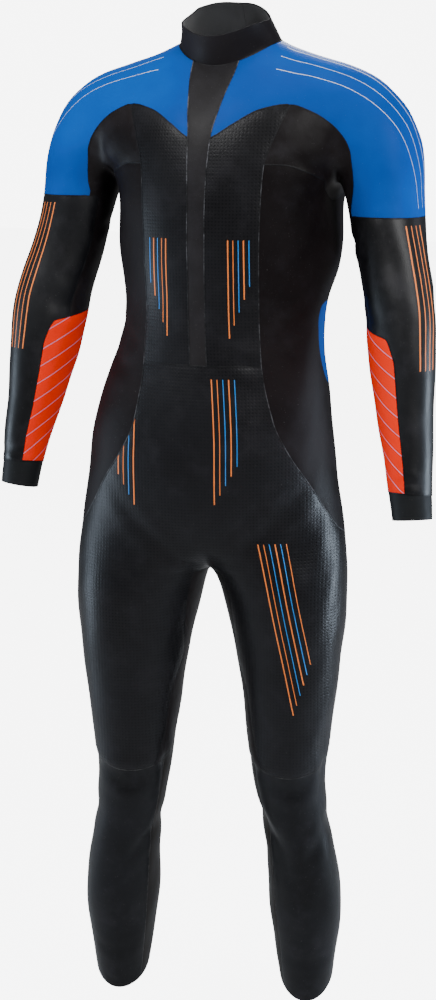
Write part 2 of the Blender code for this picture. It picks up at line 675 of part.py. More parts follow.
def build_panels(skin):
    """Cuts out every panel and gives it its wall, the paired ones as a left and a right."""
    layer = skin.faces.layers.int["panel"]
    bmesh.ops.triangulate(skin, faces=skin.faces[:], quad_method="BEAUTY", ngon_method="BEAUTY")
    skin.normal_update()
    for kind, colour_name in PANEL_FINISH.items():
        faces = [face for face in skin.faces if face[layer] == PANELS.index(kind)]
        thickness = ARM_WALL if kind in ARM_PANELS else COLLAR_WALL if kind == "collar" else BODY_WALL
        sink = CUFF_STEP if kind == "cuff" else 0.0
        if kind in WHOLE_PANELS:
            slit = []
            if kind == "collar":
                covered = [face for face in skin.faces if face[layer] == PANELS.index("collar_tab")]
                tab = wall(skin, "collar_tab", covered, TAB_WALL, -SEAM_GAP - TAB_WALL)
                place("collar_tab", tab, "grey black")
                faces += covered
                slit = [edge for edge in {edge for face in faces for edge in face.edges}
                        if all(abs(vert.co.x) < 1e-5 and vert.co.y > 0.03 for vert in edge.verts)]
            place(kind, wall(skin, kind, faces, thickness, sink, slit), colour_name)
            continue
        for side, half in (("left", 1.0), ("right", -1.0)):
            name = f"{kind}_{side}"
            members = [face for face in faces if face.calc_center_median().x * half > 0.0]
            place(name, wall(skin, name, members, thickness, sink), colour_name)


# ---------------------------------------------------------------- zip

def back_line(skin):
    """The skin's points down the middle of the back, highest first."""
    points = [vert.co.copy() for vert in skin.verts if abs(vert.co.x) < 1e-5 and vert.co.y > 0.04]
    return sorted(points, key=lambda point: -point.z)


def back_frame(skin, height):
    """A point on the middle of the back, the direction down the skin and the direction out of it."""
    points = back_line(skin)
    upper = next(i for i in range(len(points) - 1) if points[i + 1].z < height)
    above, below = points[upper], points[upper + 1]
    point = above.lerp(below, (above.z - height) / (above.z - below.z))
    down = (below - above).normalized()
    return point, down, Vector((0.0, -down.z, down.y))


def box(bm, centre, half, axes):
    """A box with its own axes, added to a mesh."""
    matrix = Matrix.Translation(centre) @ Matrix(axes).transposed().to_4x4() @ Matrix.Diagonal((*half, 1.0))
    bmesh.ops.create_cube(bm, size=2.0, matrix=matrix)


def zip_parts(skin):
    """The slider on the closed zip, with two cheeks and a pin, and the pull tab that hangs on the pin."""
    point, down, out = back_frame(skin, SLIDER_HEIGHT)
    across = Vector((1.0, 0.0, 0.0))
    axes = (across, down, out)
    base = SEAM_GAP + SLIDER_THICKNESS / 2.0
    pin_lift = SEAM_GAP + SLIDER_THICKNESS + PIN_RISE
    pin_point = point + out * pin_lift
    slider = bmesh.new()
    box(slider, point + out * base, (SLIDER_WIDTH / 2.0, SLIDER_LENGTH / 2.0, SLIDER_THICKNESS / 2.0), axes)
    cheek_away = PULL_WIDTH / 2.0 + RUNNING_GAP + CHEEK_THICKNESS / 2.0
    cheek_top = pin_lift + PIN_RADIUS * 1.9
    parts = []
    for side in (1.0, -1.0):
        cheek = bmesh.new()
        middle = (base + cheek_top) / 2.0
        box(cheek, point + across * cheek_away * side + out * middle,
            (CHEEK_THICKNESS / 2.0, 0.0026, (cheek_top - base) / 2.0), axes)
        parts.append(("cheek", cheek))
    pin = bmesh.new()
    turn = Matrix.Rotation(math.radians(90.0), 4, "Y")
    bmesh.ops.create_cone(pin, cap_ends=True, segments=12, radius1=PIN_RADIUS, radius2=PIN_RADIUS,
                          depth=2.0 * cheek_away, matrix=Matrix.Translation(pin_point) @ turn)
    parts.append(("pin", pin))
    body = place("zip_slider", slider, "metal", smooth=False)
    for name, extra in parts:
        join(body, extra, name)
    pull = bmesh.new()
    bmesh.ops.create_cone(pull, cap_ends=True, segments=16, radius1=PULL_EYE_RADIUS, radius2=PULL_EYE_RADIUS,
                          depth=PULL_WIDTH, matrix=Matrix.Translation(pin_point) @ turn)
    tab = place("zip_pull", pull, "metal", smooth=False)
    tongue = bmesh.new()
    reach = PULL_LENGTH / 2.0
    tongue_half = PULL_WIDTH / 2.0 - TONGUE_STEP
    box(tongue, pin_point + down * reach + out * 0.0004, (tongue_half, reach, PULL_THICKNESS / 2.0), axes)
    join(tab, tongue, "tongue")
    hole = bmesh.new()
    bmesh.ops.create_cone(hole, cap_ends=True, segments=12, radius1=PIN_RADIUS + 0.0004,
                          radius2=PIN_RADIUS + 0.0004, depth=PULL_WIDTH * 2.0,
                          matrix=Matrix.Translation(pin_point) @ turn)
    join(tab, hole, "hole", "DIFFERENCE")
    return pin_point


def join(item, bm, name, operation="UNION"):
    """Adds a shape to an object, or cuts it out, with a hidden helper object."""
    helper = place(f"{item.name}_{name}_helper", bm, "metal", smooth=False)
    helper.hide_render = True
    helper.display_type = "WIRE"
    change = item.modifiers.new(name, "BOOLEAN")
    change.operation = operation
    change.solver = "EXACT"
    change.object = helper


clear_scene()
sewn = sewn_skin(SKIN_LEVEL)
zip_parts(sewn)
build_panels(sewn)
sewn.free()
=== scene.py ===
"""A full-length neoprene swimming suit, filled out as if worn by a swimmer who stands upright.

Heights in the tables are above the wearer's soles. Everything is lowered so that the frame's origin lies
between the shoulders. The wearer's left is +X and the chest faces -Y.
"""
import math
from collections import namedtuple

import bmesh
import bpy
import numpy as np
from mathutils import Matrix, Vector


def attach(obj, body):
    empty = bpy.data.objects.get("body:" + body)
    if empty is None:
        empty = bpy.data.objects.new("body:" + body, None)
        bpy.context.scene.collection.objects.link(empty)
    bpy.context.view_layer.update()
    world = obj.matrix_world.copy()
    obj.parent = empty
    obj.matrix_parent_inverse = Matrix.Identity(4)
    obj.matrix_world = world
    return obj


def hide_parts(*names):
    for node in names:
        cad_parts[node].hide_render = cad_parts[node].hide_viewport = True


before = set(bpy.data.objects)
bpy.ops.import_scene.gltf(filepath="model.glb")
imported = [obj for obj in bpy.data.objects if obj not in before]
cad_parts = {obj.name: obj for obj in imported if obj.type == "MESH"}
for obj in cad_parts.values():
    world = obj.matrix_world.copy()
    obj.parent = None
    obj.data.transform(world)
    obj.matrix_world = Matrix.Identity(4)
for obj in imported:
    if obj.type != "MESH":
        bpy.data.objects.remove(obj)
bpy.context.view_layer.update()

# ---------------------------------------------------------------- the skin that all panels share
# The suit is one close-fitting skin of neoprene foam sheet, cut into panels that are glued and blind-stitched
# edge to edge. The skin is laid here through rings round the trunk, arms and legs, and cut along the seams.

SHOULDER_HEIGHT = 1.480
SEAM_GAP = 0.0003
SKIN_LEVEL = 3


def table(columns, *rows):
    """Rows of numbers under named columns."""
    row = namedtuple("Row", columns)
    return [row(*numbers) for numbers in rows]


# Rings round the trunk: heights, half width and depths (y) at the front, side and back.
TRUNK = table(
    "front_z side_z back_z half_width front_y side_y back_y",
    (1.570, 1.594, 1.622, 0.063, -0.046, 0.014, 0.076),
    (1.551, 1.582, 1.600, 0.066, -0.038, 0.023, 0.088),
    (1.531, 1.567, 1.577, 0.073, -0.030, 0.031, 0.100),
    (1.497, 1.545, 1.543, 0.127, -0.058, 0.035, 0.123),
    (1.455, 1.507, 1.490, 0.175, -0.084, 0.037, 0.138),
    (1.400, 1.425, 1.420, 0.182, -0.097, 0.038, 0.144),
    (1.340, 1.345, 1.345, 0.184, -0.101, 0.044, 0.146),
    (1.280, 1.280, 1.280, 0.173, -0.102, 0.039, 0.137),
    (1.210, 1.210, 1.210, 0.146, -0.098, 0.018, 0.114),
    (1.140, 1.140, 1.140, 0.150, -0.098, 0.010, 0.102),
    (1.070, 1.070, 1.070, 0.170, -0.102, 0.010, 0.106),
    (1.000, 1.000, 1.000, 0.179, -0.106, 0.010, 0.118),
    (0.930, 0.930, 0.930, 0.187, -0.104, 0.008, 0.124),
    (0.865, 0.865, 0.865, 0.199, -0.090, 0.006, 0.114),
)
NECK_ROW = 2
ARMHOLE_ROW = 4
TRUNK_COLUMNS = 16
CROTCH = (0.0, 0.004, 0.796)
NECK_CREASE = 0.6

# Rings round the left arm, from the shoulder joint to the end of the cuff. The long half size lies at
# the angle "turn" from the outer side towards the front.
ARM = table(
    "x y z long_half short_half turn",
    (0.184, 0.035, 1.442, 0.090, 0.062, 0.0),
    (0.227, 0.030, 1.415, 0.066, 0.060, 0.0),
    (0.233, 0.022, 1.352, 0.053, 0.053, 20.0),
    (0.244, 0.014, 1.300, 0.052, 0.049, 40.0),
    (0.256, 0.004, 1.252, 0.053, 0.046, 40.0),
    (0.267, -0.008, 1.208, 0.056, 0.045, 40.0),
    (0.273, -0.018, 1.155, 0.057, 0.043, 40.0),
    (0.280, -0.027, 1.100, 0.049, 0.040, 40.0),
    (0.288, -0.037, 1.045, 0.041, 0.036, 40.0),
    (0.296, -0.047, 1.000, 0.035, 0.032, 30.0),
    (0.301, -0.053, 0.959, 0.0300, 0.0290, 0.0),
    (0.305, -0.059, 0.923, 0.0280, 0.0280, 0.0),
)
ARM_COLUMNS = 8
CUFF_ROW = 10
SHOULDER_JOINT_LINE = (0.90, -0.06, -0.42)

# Rings round the left leg, from below the crotch to the hem, which is low in front and high behind.
LEG = table(
    "front_z back_z x y long_half short_half turn",
    (0.800, 0.795, 0.106, 0.006, 0.098, 0.090, 35.0),
    (0.735, 0.735, 0.113, 0.004, 0.091, 0.080, 35.0),
    (0.665, 0.665, 0.116, 0.000, 0.080, 0.070, 35.0),
    (0.595, 0.595, 0.117, -0.004, 0.069, 0.063, 35.0),
    (0.530, 0.530, 0.116, -0.006, 0.060, 0.057, 35.0),
    (0.465, 0.465, 0.120, -0.002, 0.053, 0.051, 35.0),
    (0.400, 0.400, 0.133, 0.006, 0.050, 0.049, 35.0),
    (0.335, 0.335, 0.141, 0.014, 0.057, 0.052, 35.0),
    (0.272, 0.280, 0.144, 0.018, 0.060, 0.054, 35.0),
    (0.202, 0.240, 0.1455, 0.020, 0.052, 0.048, 35.0),
    (0.122, 0.205, 0.146, 0.022, 0.043, 0.041, 35.0),
)
LEG_COLUMNS = 10

# Seams on the trunk, by height or by distance from the centre line.
THROAT_STRIP = table("z away", (1.095, 0.012), (1.35, 0.013), (1.437, 0.0165), (1.48, 0.024),
                               (1.531, 0.033), (1.6, 0.036))
FRONT_SIDE_SEAM = table("z away", (0.85, 0.24), (0.872, 0.199), (0.91, 0.173), (0.955, 0.148), (1.0, 0.12),
                                  (1.045, 0.1), (1.134, 0.086), (1.2, 0.085), (1.28, 0.086), (1.35, 0.088),
                                  (1.4, 0.091), (1.44, 0.103), (1.48, 0.118))
BACK_SIDE_SEAM = table("z away", (0.85, 0.24), (0.872, 0.199), (0.93, 0.165), (1.0, 0.128), (1.1, 0.102),
                                 (1.3, 0.1), (1.48, 0.112))
YOKE_EDGE = table("away z", (0.0, 1.432), (0.017, 1.437), (0.045, 1.455), (0.08, 1.474), (0.115, 1.481),
                            (0.145, 1.472), (0.172, 1.455), (0.19, 1.434), (0.2, 1.412), (0.3, 1.3))
CAP_INNER_EDGE = table("z away", (1.3, 0.192), (1.34, 0.195), (1.375, 0.2), (1.42, 0.1965))
GUSSET_EDGE = table("away z", (0.08, 1.402), (0.115, 1.401), (0.145, 1.39), (0.172, 1.364), (0.2, 1.33))
LUMBAR_TOP = table("away z", (0.0, 1.235), (0.08, 1.228), (0.15, 1.18))
LUMBAR_BOTTOM = table("away z", (0.0, 1.07), (0.08, 1.077), (0.15, 1.122))
LUMBAR_FRONT_Y = 0.025
WAIST_SEAM_HEIGHT = 1.126
CAP_HEM_HEIGHT = {"left": 1.331, "right": 1.351}
ZIP_TAPE_WIDTH = 0.013
SEAT_EDGE_HEIGHT = 0.812
CROTCH_SEAM_HEIGHT = 0.818
CROTCH_HALF_WIDTH = 0.075
CROTCH_BACK_Y = 0.030

# Seams along the limbs: height and angle in degrees, 0 at the outer side, 90 in front, 180 inside.
THIGH_INNER_SEAM = table("z angle", (0.51, 128.0), (0.56, 146.0), (0.63, 153.0), (0.68, 168.0),
                                    (0.74, 157.0), (0.815, 146.0), (0.9, 144.0))
THIGH_OUTER_SEAM = table("z angle", (0.7, -12.0), (0.8, -9.0), (0.865, 0.0))
CALF_INNER_SEAM = table("z angle", (0.15, 142.0), (0.26, 144.0), (0.36, 147.0), (0.48, 151.0),
                                   (0.56, 158.0))
CALF_OUTER_ANGLE = -22.0
UNDERARM_FRONT_SEAM = table("z angle", (1.18, 156.0), (1.26, 157.0), (1.338, 146.0))
UNDERARM_BACK_SEAM = table("z angle", (1.18, 215.0), (1.26, 215.0), (1.338, 222.0))

# The knee seam is a U: nearly level in front, steep from the side angle on, and level again behind.
KNEE_SEAM_HEIGHT = 0.507
KNEE_BACK_HEIGHT = 0.590
KNEE_SIDE_ANGLE = 82.0
KNEE_SIDE_RISE = 0.021
KNEE_STEEP_ANGLE = 24.0
KNEE_STEEP_RISE = 0.0030

# The orange panel starts further round on the right arm, which is rolled inwards a little.
FOREARM_FRONT_ANGLE = {"left": 88.0, "right": 112.0}
FOREARM_WIDTH_ANGLE = 128.0
FOREARM_TOP_HEIGHT = 1.170
FOREARM_TOP_RISE = 0.018
FOREARM_CORNER_DROP = 0.030
FOREARM_CORNER_ANGLE = 16.0

# The closing tab across the collar's ends: its edges' heights and half its width.
TAB_HALF_WIDTH = 0.030
TAB_LOW_HEIGHT = 1.587
TAB_HIGH_HEIGHT = 1.612


def loop_spread(columns):
    """How many times wider than the smooth skin a loop of the net has to be."""
    return 3.0 / (2.0 + math.cos(math.tau / columns))


def trunk_point(ring, column):
    """A point of a trunk ring. Column 0 is the front centre, and they run towards the left side."""
    angle = math.tau * column / TRUNK_COLUMNS
    across, ahead = math.sin(angle), math.cos(angle)
    spread = loop_spread(TRUNK_COLUMNS)
    end_y, end_z = (ring.front_y, ring.front_z) if ahead > 0.0 else (ring.back_y, ring.back_z)
    return Vector((ring.half_width * spread * across,
                   ring.side_y + (end_y - ring.side_y) * spread * abs(ahead),
                   ring.side_z + (end_z - ring.side_z) * ahead * ahead))


def round_limb(ring, first, columns):
    """The angle, outward part and forward part of each point round a limb's oval ring."""
    turn = math.radians(ring.turn)
    for column in range(columns):
        angle = math.tau * (first - column) / columns
        along, beside = ring.long_half * math.cos(angle - turn), ring.short_half * math.sin(angle - turn)
        out = along * math.cos(turn) - beside * math.sin(turn)
        ahead = along * math.sin(turn) + beside * math.cos(turn)
        yield angle, out * loop_spread(columns), ahead * loop_spread(columns)


def arm_ring_points(row):
    """Points of a left arm ring, from its outer side round the back, square to the arm's line."""
    centres = [Vector(ring[:3]) for ring in ARM]
    before, after = centres[max(row - 1, 0)], centres[min(row + 1, len(ARM) - 1)]
    along = (after - before if row else Vector(SHOULDER_JOINT_LINE)).normalized()
    ahead = (Vector((0.0, -1.0, 0.0)) - along * -along.y).normalized()
    outward = ahead.cross(along)
    return [centres[row] + outward * out + ahead * fore
            for angle, out, fore in round_limb(ARM[row], 0, ARM_COLUMNS)]


def leg_ring_points(ring):
    """Points of a left leg ring, from the inner front round the outer side to the inner side."""
    middle, half_tilt = (ring.front_z + ring.back_z) / 2.0, (ring.front_z - ring.back_z) / 2.0
    return [Vector((ring.x + out, ring.y - fore, middle + half_tilt * math.sin(angle)))
            for angle, out, fore in round_limb(ring, 4, LEG_COLUMNS)]


def mirrored(points, side):
    return [Vector((point.x * side, point.y, point.z)) for point in points]


def tube(cage, loop, rings, side, region):
    """Joins a loop of the net to rings of points, one after another, facing outwards."""
    layer = cage.faces.layers.int["panel"]
    for points in rings:
        following = [cage.verts.new(point) for point in mirrored(points, side)]
        for index in range(len(loop)):
            after = (index + 1) % len(loop)
            corners = [loop[index], following[index], following[after], loop[after]]
            cage.faces.new(corners[::side])[layer] = PANELS.index(region)
        loop = following


def skin_cage():
    """The coarse net of the whole skin: trunk and collar, then arms from the armholes and legs."""
    cage = bmesh.new()
    panel = cage.faces.layers.int.new("panel")
    crease = cage.edges.layers.float.new("crease_edge")
    trunk = [[trunk_point(ring, column) for column in range(TRUNK_COLUMNS)] for ring in TRUNK]
    armhole = ((0, 0), (0, 1), (1, 1), (2, 1), (2, 0), (2, -1), (1, -1), (0, -1))
    loops = {}
    for side in (1, -1):
        middle = side * TRUNK_COLUMNS // 4 % TRUNK_COLUMNS
        loops[side] = [(ARMHOLE_ROW + down, middle + along * side) for down, along in armhole]
        for (row, column), point in zip(loops[side], mirrored(arm_ring_points(0), side)):
            trunk[row][column] = point
        trunk[ARMHOLE_ROW + 1][middle] = None
    net = [[point and cage.verts.new(point) for point in points] for points in trunk]
    for row in range(len(net) - 1):
        for column in range(TRUNK_COLUMNS):
            after = (column + 1) % TRUNK_COLUMNS
            corners = (net[row][column], net[row + 1][column], net[row + 1][after], net[row][after])
            if all(corners):
                cage.faces.new(corners)[panel] = PANELS.index("collar" if row < NECK_ROW else "trunk")
            if row == NECK_ROW:
                cage.edges.get((net[row][column], net[row][after]))[crease] = NECK_CREASE
    for side in (1, -1):
        arm_loop = [net[row][column] for row, column in loops[side]]
        tube(cage, arm_loop, [arm_ring_points(row) for row in range(1, len(ARM))], side, "arm")
    crotch = cage.verts.new(CROTCH)
    for side in (1, -1):
        leg_loop = [net[-1][(side * column) % TRUNK_COLUMNS] for column in range(LEG_COLUMNS - 1)]
        tube(cage, leg_loop + [crotch], [leg_ring_points(ring) for ring in LEG], side, "leg")
    return cage


def smooth_skin(cage, level):
    """Lays the smooth skin through the net. Its faces keep their region."""
    mesh = bpy.data.meshes.new("skin")
    cage.to_mesh(mesh)
    cage.free()
    item = bpy.data.objects.new("skin", mesh)
    bpy.context.collection.objects.link(item)
    smoother = item.modifiers.new("smooth", "SUBSURF")
    smoother.levels = smoother.render_levels = level
    smoother.use_limit_surface = True
    evaluated = item.evaluated_get(bpy.context.evaluated_depsgraph_get())
    skin = bmesh.new()
    skin.from_mesh(evaluated.to_mesh())
    evaluated.to_mesh_clear()
    bpy.data.objects.remove(item, do_unlink=True)
    return skin


def read_line(line, value):
    """Reads a seam's second column at many values of its first, along a smooth curve without overshoot."""
    at, out = np.array(line).T
    slope = np.diff(out) / np.diff(at)
    product = slope[1:] * slope[:-1]
    lean = np.concatenate((slope[:1], np.zeros(len(product)), slope[-1:]))
    lean[1:-1][product > 0.0] = (2.0 * product / (slope[1:] + slope[:-1] + 1e-12))[product > 0.0]
    value = np.clip(value, at[0], at[-1])
    row = np.clip(np.searchsorted(at, value) - 1, 0, len(at) - 2)
    width = at[row + 1] - at[row]
    share = (value - at[row]) / width
    rest = 1.0 - share
    return (rest * rest * ((1.0 + 2.0 * share) * out[row] + share * width * lean[row])
            + share * share * ((1.0 + 2.0 * rest) * out[row + 1] - rest * width * lean[row + 1]))


def read_rings(rings, heights, column, value):
    """Reads a column of a ring table at many heights."""
    return np.interp(value, heights[::-1], [getattr(ring, column) for ring in rings][::-1])


class Points:
    """Many points of the skin at once, their distance from the centre line, and which lie in front."""

    def __init__(self, places):
        self.places = np.array([tuple(place) for place in places]).reshape(-1, 3)
        self.x, self.y, self.z = self.places.T
        self.away = np.abs(self.x)
        self.front = self.y < read_rings(TRUNK, [ring.side_z for ring in TRUNK], "side_y", self.z)


def angle_round(p, rings, heights, least):
    """Angle round a limb from its outer side: 90 in front, 180 inside, and on behind or down to the least."""
    ahead = read_rings(rings, heights, "y", p.z) - p.y
    outward = p.away - read_rings(rings, heights, "x", p.z)
    angle = np.degrees(np.arctan2(ahead, outward))
    return np.where(angle < least, angle + 360.0, angle)


def arm_angle(p):
    return angle_round(p, ARM, [ring.z for ring in ARM], -60.0)


def leg_angle(p):
    return angle_round(p, LEG, [(ring.front_z + ring.back_z) / 2.0 for ring in LEG], -90.0)


def in_front(p):
    return p.front


def on_throat_strip(p):
    return p.front & (p.away < read_line(THROAT_STRIP, p.z))


def on_zip_tape(p):
    return ~p.front & (p.away < ZIP_TAPE_WIDTH)


def under_collar_tab(p):
    return ~p.front & (p.away < TAB_HALF_WIDTH)


def between_tab_edges(p):
    return (p.z > TAB_LOW_HEIGHT) & (p.z < TAB_HIGH_HEIGHT)


def above_cap_hem(p):
    return p.z > np.where(p.x > 0.0, CAP_HEM_HEIGHT["left"], CAP_HEM_HEIGHT["right"])


def on_shoulder_cap(p):
    """Above the yoke's edge on the chest, and outside the cap's inner edge on the arm."""
    above, outside = p.z > read_line(YOKE_EDGE, p.away), p.away > read_line(CAP_INNER_EDGE, p.z)
    return above_cap_hem(p) & np.where(p.z > CAP_INNER_EDGE[-1].z, above, outside)


def on_lumbar(p):
    low, high = read_line(LUMBAR_BOTTOM, p.away), read_line(LUMBAR_TOP, p.away)
    return (p.y > LUMBAR_FRONT_Y) & (p.z > low) & (p.z < high)


def on_flank(p):
    return p.away > np.where(p.front, read_line(FRONT_SIDE_SEAM, p.z), read_line(BACK_SIDE_SEAM, p.z))


def above_gusset(p):
    return p.z > read_line(GUSSET_EDGE, p.away)


def above_waist_seam(p):
    return p.z > WAIST_SEAM_HEIGHT


def on_thigh_front(p):
    """Between the seams on the outer and inner thigh, and all the front above the crotch seam."""
    angle = leg_angle(p)
    crotch = p.front & (p.z > CROTCH_SEAM_HEIGHT) & (angle > 90.0)
    return (angle > read_line(THIGH_OUTER_SEAM, p.z)) & ((angle < read_line(THIGH_INNER_SEAM, p.z)) | crotch)


def above_seat_edge(p):
    """Above the fold under the seat, but not between the thighs in front of the fold."""
    return (p.z > SEAT_EDGE_HEIGHT) & ~((p.away < CROTCH_HALF_WIDTH) & (p.y < CROTCH_BACK_Y))


def knee_seam_height(off):
    """The knee seam's height by the angle from the front of the knee, as it climbs."""
    side_rise = KNEE_SIDE_RISE * np.minimum(off / KNEE_SIDE_ANGLE, 1.0) ** 2
    steep_rise = KNEE_STEEP_RISE * np.clip(off - KNEE_SIDE_ANGLE, 0.0, KNEE_STEEP_ANGLE)
    return KNEE_SEAM_HEIGHT + side_rise + steep_rise


def above_knee_seam(p):
    return p.z > np.minimum(knee_seam_height(np.abs(leg_angle(p) - 90.0)), KNEE_BACK_HEIGHT)


def on_shin(p):
    angle = leg_angle(p)
    return (angle > CALF_OUTER_ANGLE) & (angle < read_line(CALF_INNER_SEAM, p.z))


def on_forearm_panel(p):
    angle = arm_angle(p) - np.where(p.x > 0.0, FOREARM_FRONT_ANGLE["left"], FOREARM_FRONT_ANGLE["right"])
    near_edge = np.clip(1.0 - angle / FOREARM_CORNER_ANGLE, 0.0, 1.0)
    rise = FOREARM_TOP_RISE * np.clip(angle / FOREARM_WIDTH_ANGLE, 0.0, 1.0)
    top = FOREARM_TOP_HEIGHT + rise - FOREARM_CORNER_DROP * near_edge ** 2
    return (angle > 0.0) & (angle < FOREARM_WIDTH_ANGLE) & (p.z < top)


def on_underarm(p):
    angle = arm_angle(p)
    between = (angle > read_line(UNDERARM_FRONT_SEAM, p.z)) & (angle < read_line(UNDERARM_BACK_SEAM, p.z))
    return between & (p.z > FOREARM_TOP_HEIGHT) | above_cap_hem(p)


def above_cuff(p):
    row, end = ARM[CUFF_ROW], ARM[CUFF_ROW + 1]
    return p.z - row.z + (row.y - end.y) / (row.z - end.z) * (p.y - row.y) > 0.0


PANELS = ["trunk", "low_trunk", "arm", "leg", "collar", "centre_front", "front", "front_lower", "side",
          "shoulder", "back", "lumbar", "seat", "thigh_back", "shin", "calf", "sleeve", "underarm", "forearm",
          "cuff", "zip_tape", "collar_tab"]
ARM_PANELS = ("sleeve", "underarm", "forearm", "cuff")

# How near to a border a vertex is taken as on it, as a share of an edge's length.
SNAP = 0.25
SEAM_SNAP = 0.06
HALVINGS = 14


def panel_faces(skin, kind, half=0.0):
    layer = skin.faces.layers.int["panel"]
    faces = [face for face in skin.faces if face[layer] == PANELS.index(kind)]
    return [face for face in faces if face.calc_center_median().x * half >= 0.0]


def crossings(region, edges):
    """Where each edge crosses the region's border, as a fraction of the way along."""
    start, end = (Points([edge.verts[index].co for edge in edges]) for index in (0, 1))
    first = region(start)
    low, high = np.zeros(len(edges)), np.ones(len(edges))
    for _ in range(HALVINGS):
        middle = (low + high) / 2.0
        places = start.places + (end.places - start.places) * middle[:, None]
        same = region(Points(places)) == first
        low, high = np.where(same, middle, low), np.where(same, high, middle)
    return (low + high) / 2.0


def cut(skin, among, region, inside_name, outside_name=None):
    """Cuts faces of one panel along a region's border, and renames the two parts.

    A vertex near the border slides onto it, or stays and is taken as on it where it already lies on a seam.
    """
    layer = skin.faces.layers.int["panel"]
    faces = panel_faces(skin, among)
    verts = list(dict.fromkeys(vert for face in faces for vert in face.verts))
    inside = dict(zip(verts, region(Points([vert.co for vert in verts])).tolist()))
    edges = dict.fromkeys(edge for face in faces for edge in face.edges)
    crossed = [edge for edge in edges if inside[edge.verts[0]] != inside[edge.verts[1]]]
    nearest = {}
    for edge, share in zip(crossed, crossings(region, crossed)):
        start, end = edge.verts
        near, part = (start, share) if share < 0.5 else (end, 1.0 - share)
        is_free = not near.is_boundary and len({face[layer] for face in near.link_faces}) == 1
        if part < (SNAP if is_free else SEAM_SNAP) and part < nearest.get(near, (1.0, None))[0]:
            nearest[near] = (part, start.co.lerp(end.co, share) if is_free else near.co.copy())
    for vert, (part, point) in nearest.items():
        vert.co = point
    on_line = set(nearest)
    open_edges = [edge for edge in crossed if not on_line.intersection(edge.verts)]
    for edge, share in zip(open_edges, crossings(region, open_edges)):
        on_line.add(bmesh.utils.edge_split(edge, edge.verts[0], float(share))[1])
    while faces:
        face = faces.pop()
        corners = list(face.verts)
        count = len(corners)
        states = [None if corner in on_line else inside[corner] for corner in corners]
        if True in states and False in states:
            first = next(i for i in range(count) if states[i] is True and states[i - 1] is not True)
            last = first
            while states[(last + 1) % count] is True:
                last += 1
            pieces = bmesh.utils.face_split(face, corners[first - 1], corners[(last + 1) % count])
            faces += [face, pieces[0]]
            continue
        known = [state for state in states if state is not None]
        is_inside = known[0] if known else region(Points([face.calc_center_median()]))[0]
        name = inside_name if is_inside else outside_name
        if name:
            face[layer] = PANELS.index(name)


def sewn_skin(level):
    """The whole skin, smooth and divided along every seam: what is cut, where, and the parts' names."""
    skin = smooth_skin(skin_cage(), level)
    for among, region, *names in (
            ("collar", under_collar_tab, "collar_tab"),
            ("collar_tab", between_tab_edges, "collar_tab", "collar"),
            ("trunk", above_waist_seam, "trunk", "low_trunk"),
            ("trunk", on_zip_tape, "zip_tape"),
            ("trunk", on_throat_strip, "centre_front"),
            ("trunk", on_shoulder_cap, "shoulder"),
            ("arm", on_shoulder_cap, "shoulder"),
            ("trunk", on_lumbar, "lumbar"),
            ("low_trunk", on_lumbar, "lumbar"),
            ("trunk", on_flank, "side", "back"),
            ("side", above_gusset, "underarm"),
            ("low_trunk", on_flank, "side", "seat"),
            ("back", in_front, "front"),
            ("seat", in_front, "front_lower"),
            ("leg", above_knee_seam, "thigh_back", "calf"),
            ("thigh_back", on_thigh_front, "front_lower"),
            ("thigh_back", above_seat_edge, "seat"),
            ("calf", on_shin, "shin"),
            ("arm", above_cuff, "arm", "cuff"),
            ("arm", on_forearm_panel, "forearm"),
            ("arm", on_underarm, "underarm", "sleeve")):
        cut(skin, among, region, *names)
    return skin


# The hips turn to the wearer's left below the waist.
HIP_TURN = math.radians(14.0)
TURN_TOP = 1.22
TURN_BOTTOM = 1.00
TURN_AXIS = Vector((0.0, 0.020, 0.0))
HIP_SHIFT = Vector((-0.016, -0.014, 0.0))


def turned(point, name):
    """Turns the trunk and legs with the hips. Arms stay where they hang."""
    if name.rsplit("_", 1)[0] in ARM_PANELS:
        return point
    share = min(max((TURN_TOP - point.z) / (TURN_TOP - TURN_BOTTOM), 0.0), 1.0)
    share = share * share * (3.0 - 2.0 * share)
    return Matrix.Rotation(HIP_TURN * share, 3, "Z") @ (point - TURN_AXIS) + TURN_AXIS + HIP_SHIFT * share


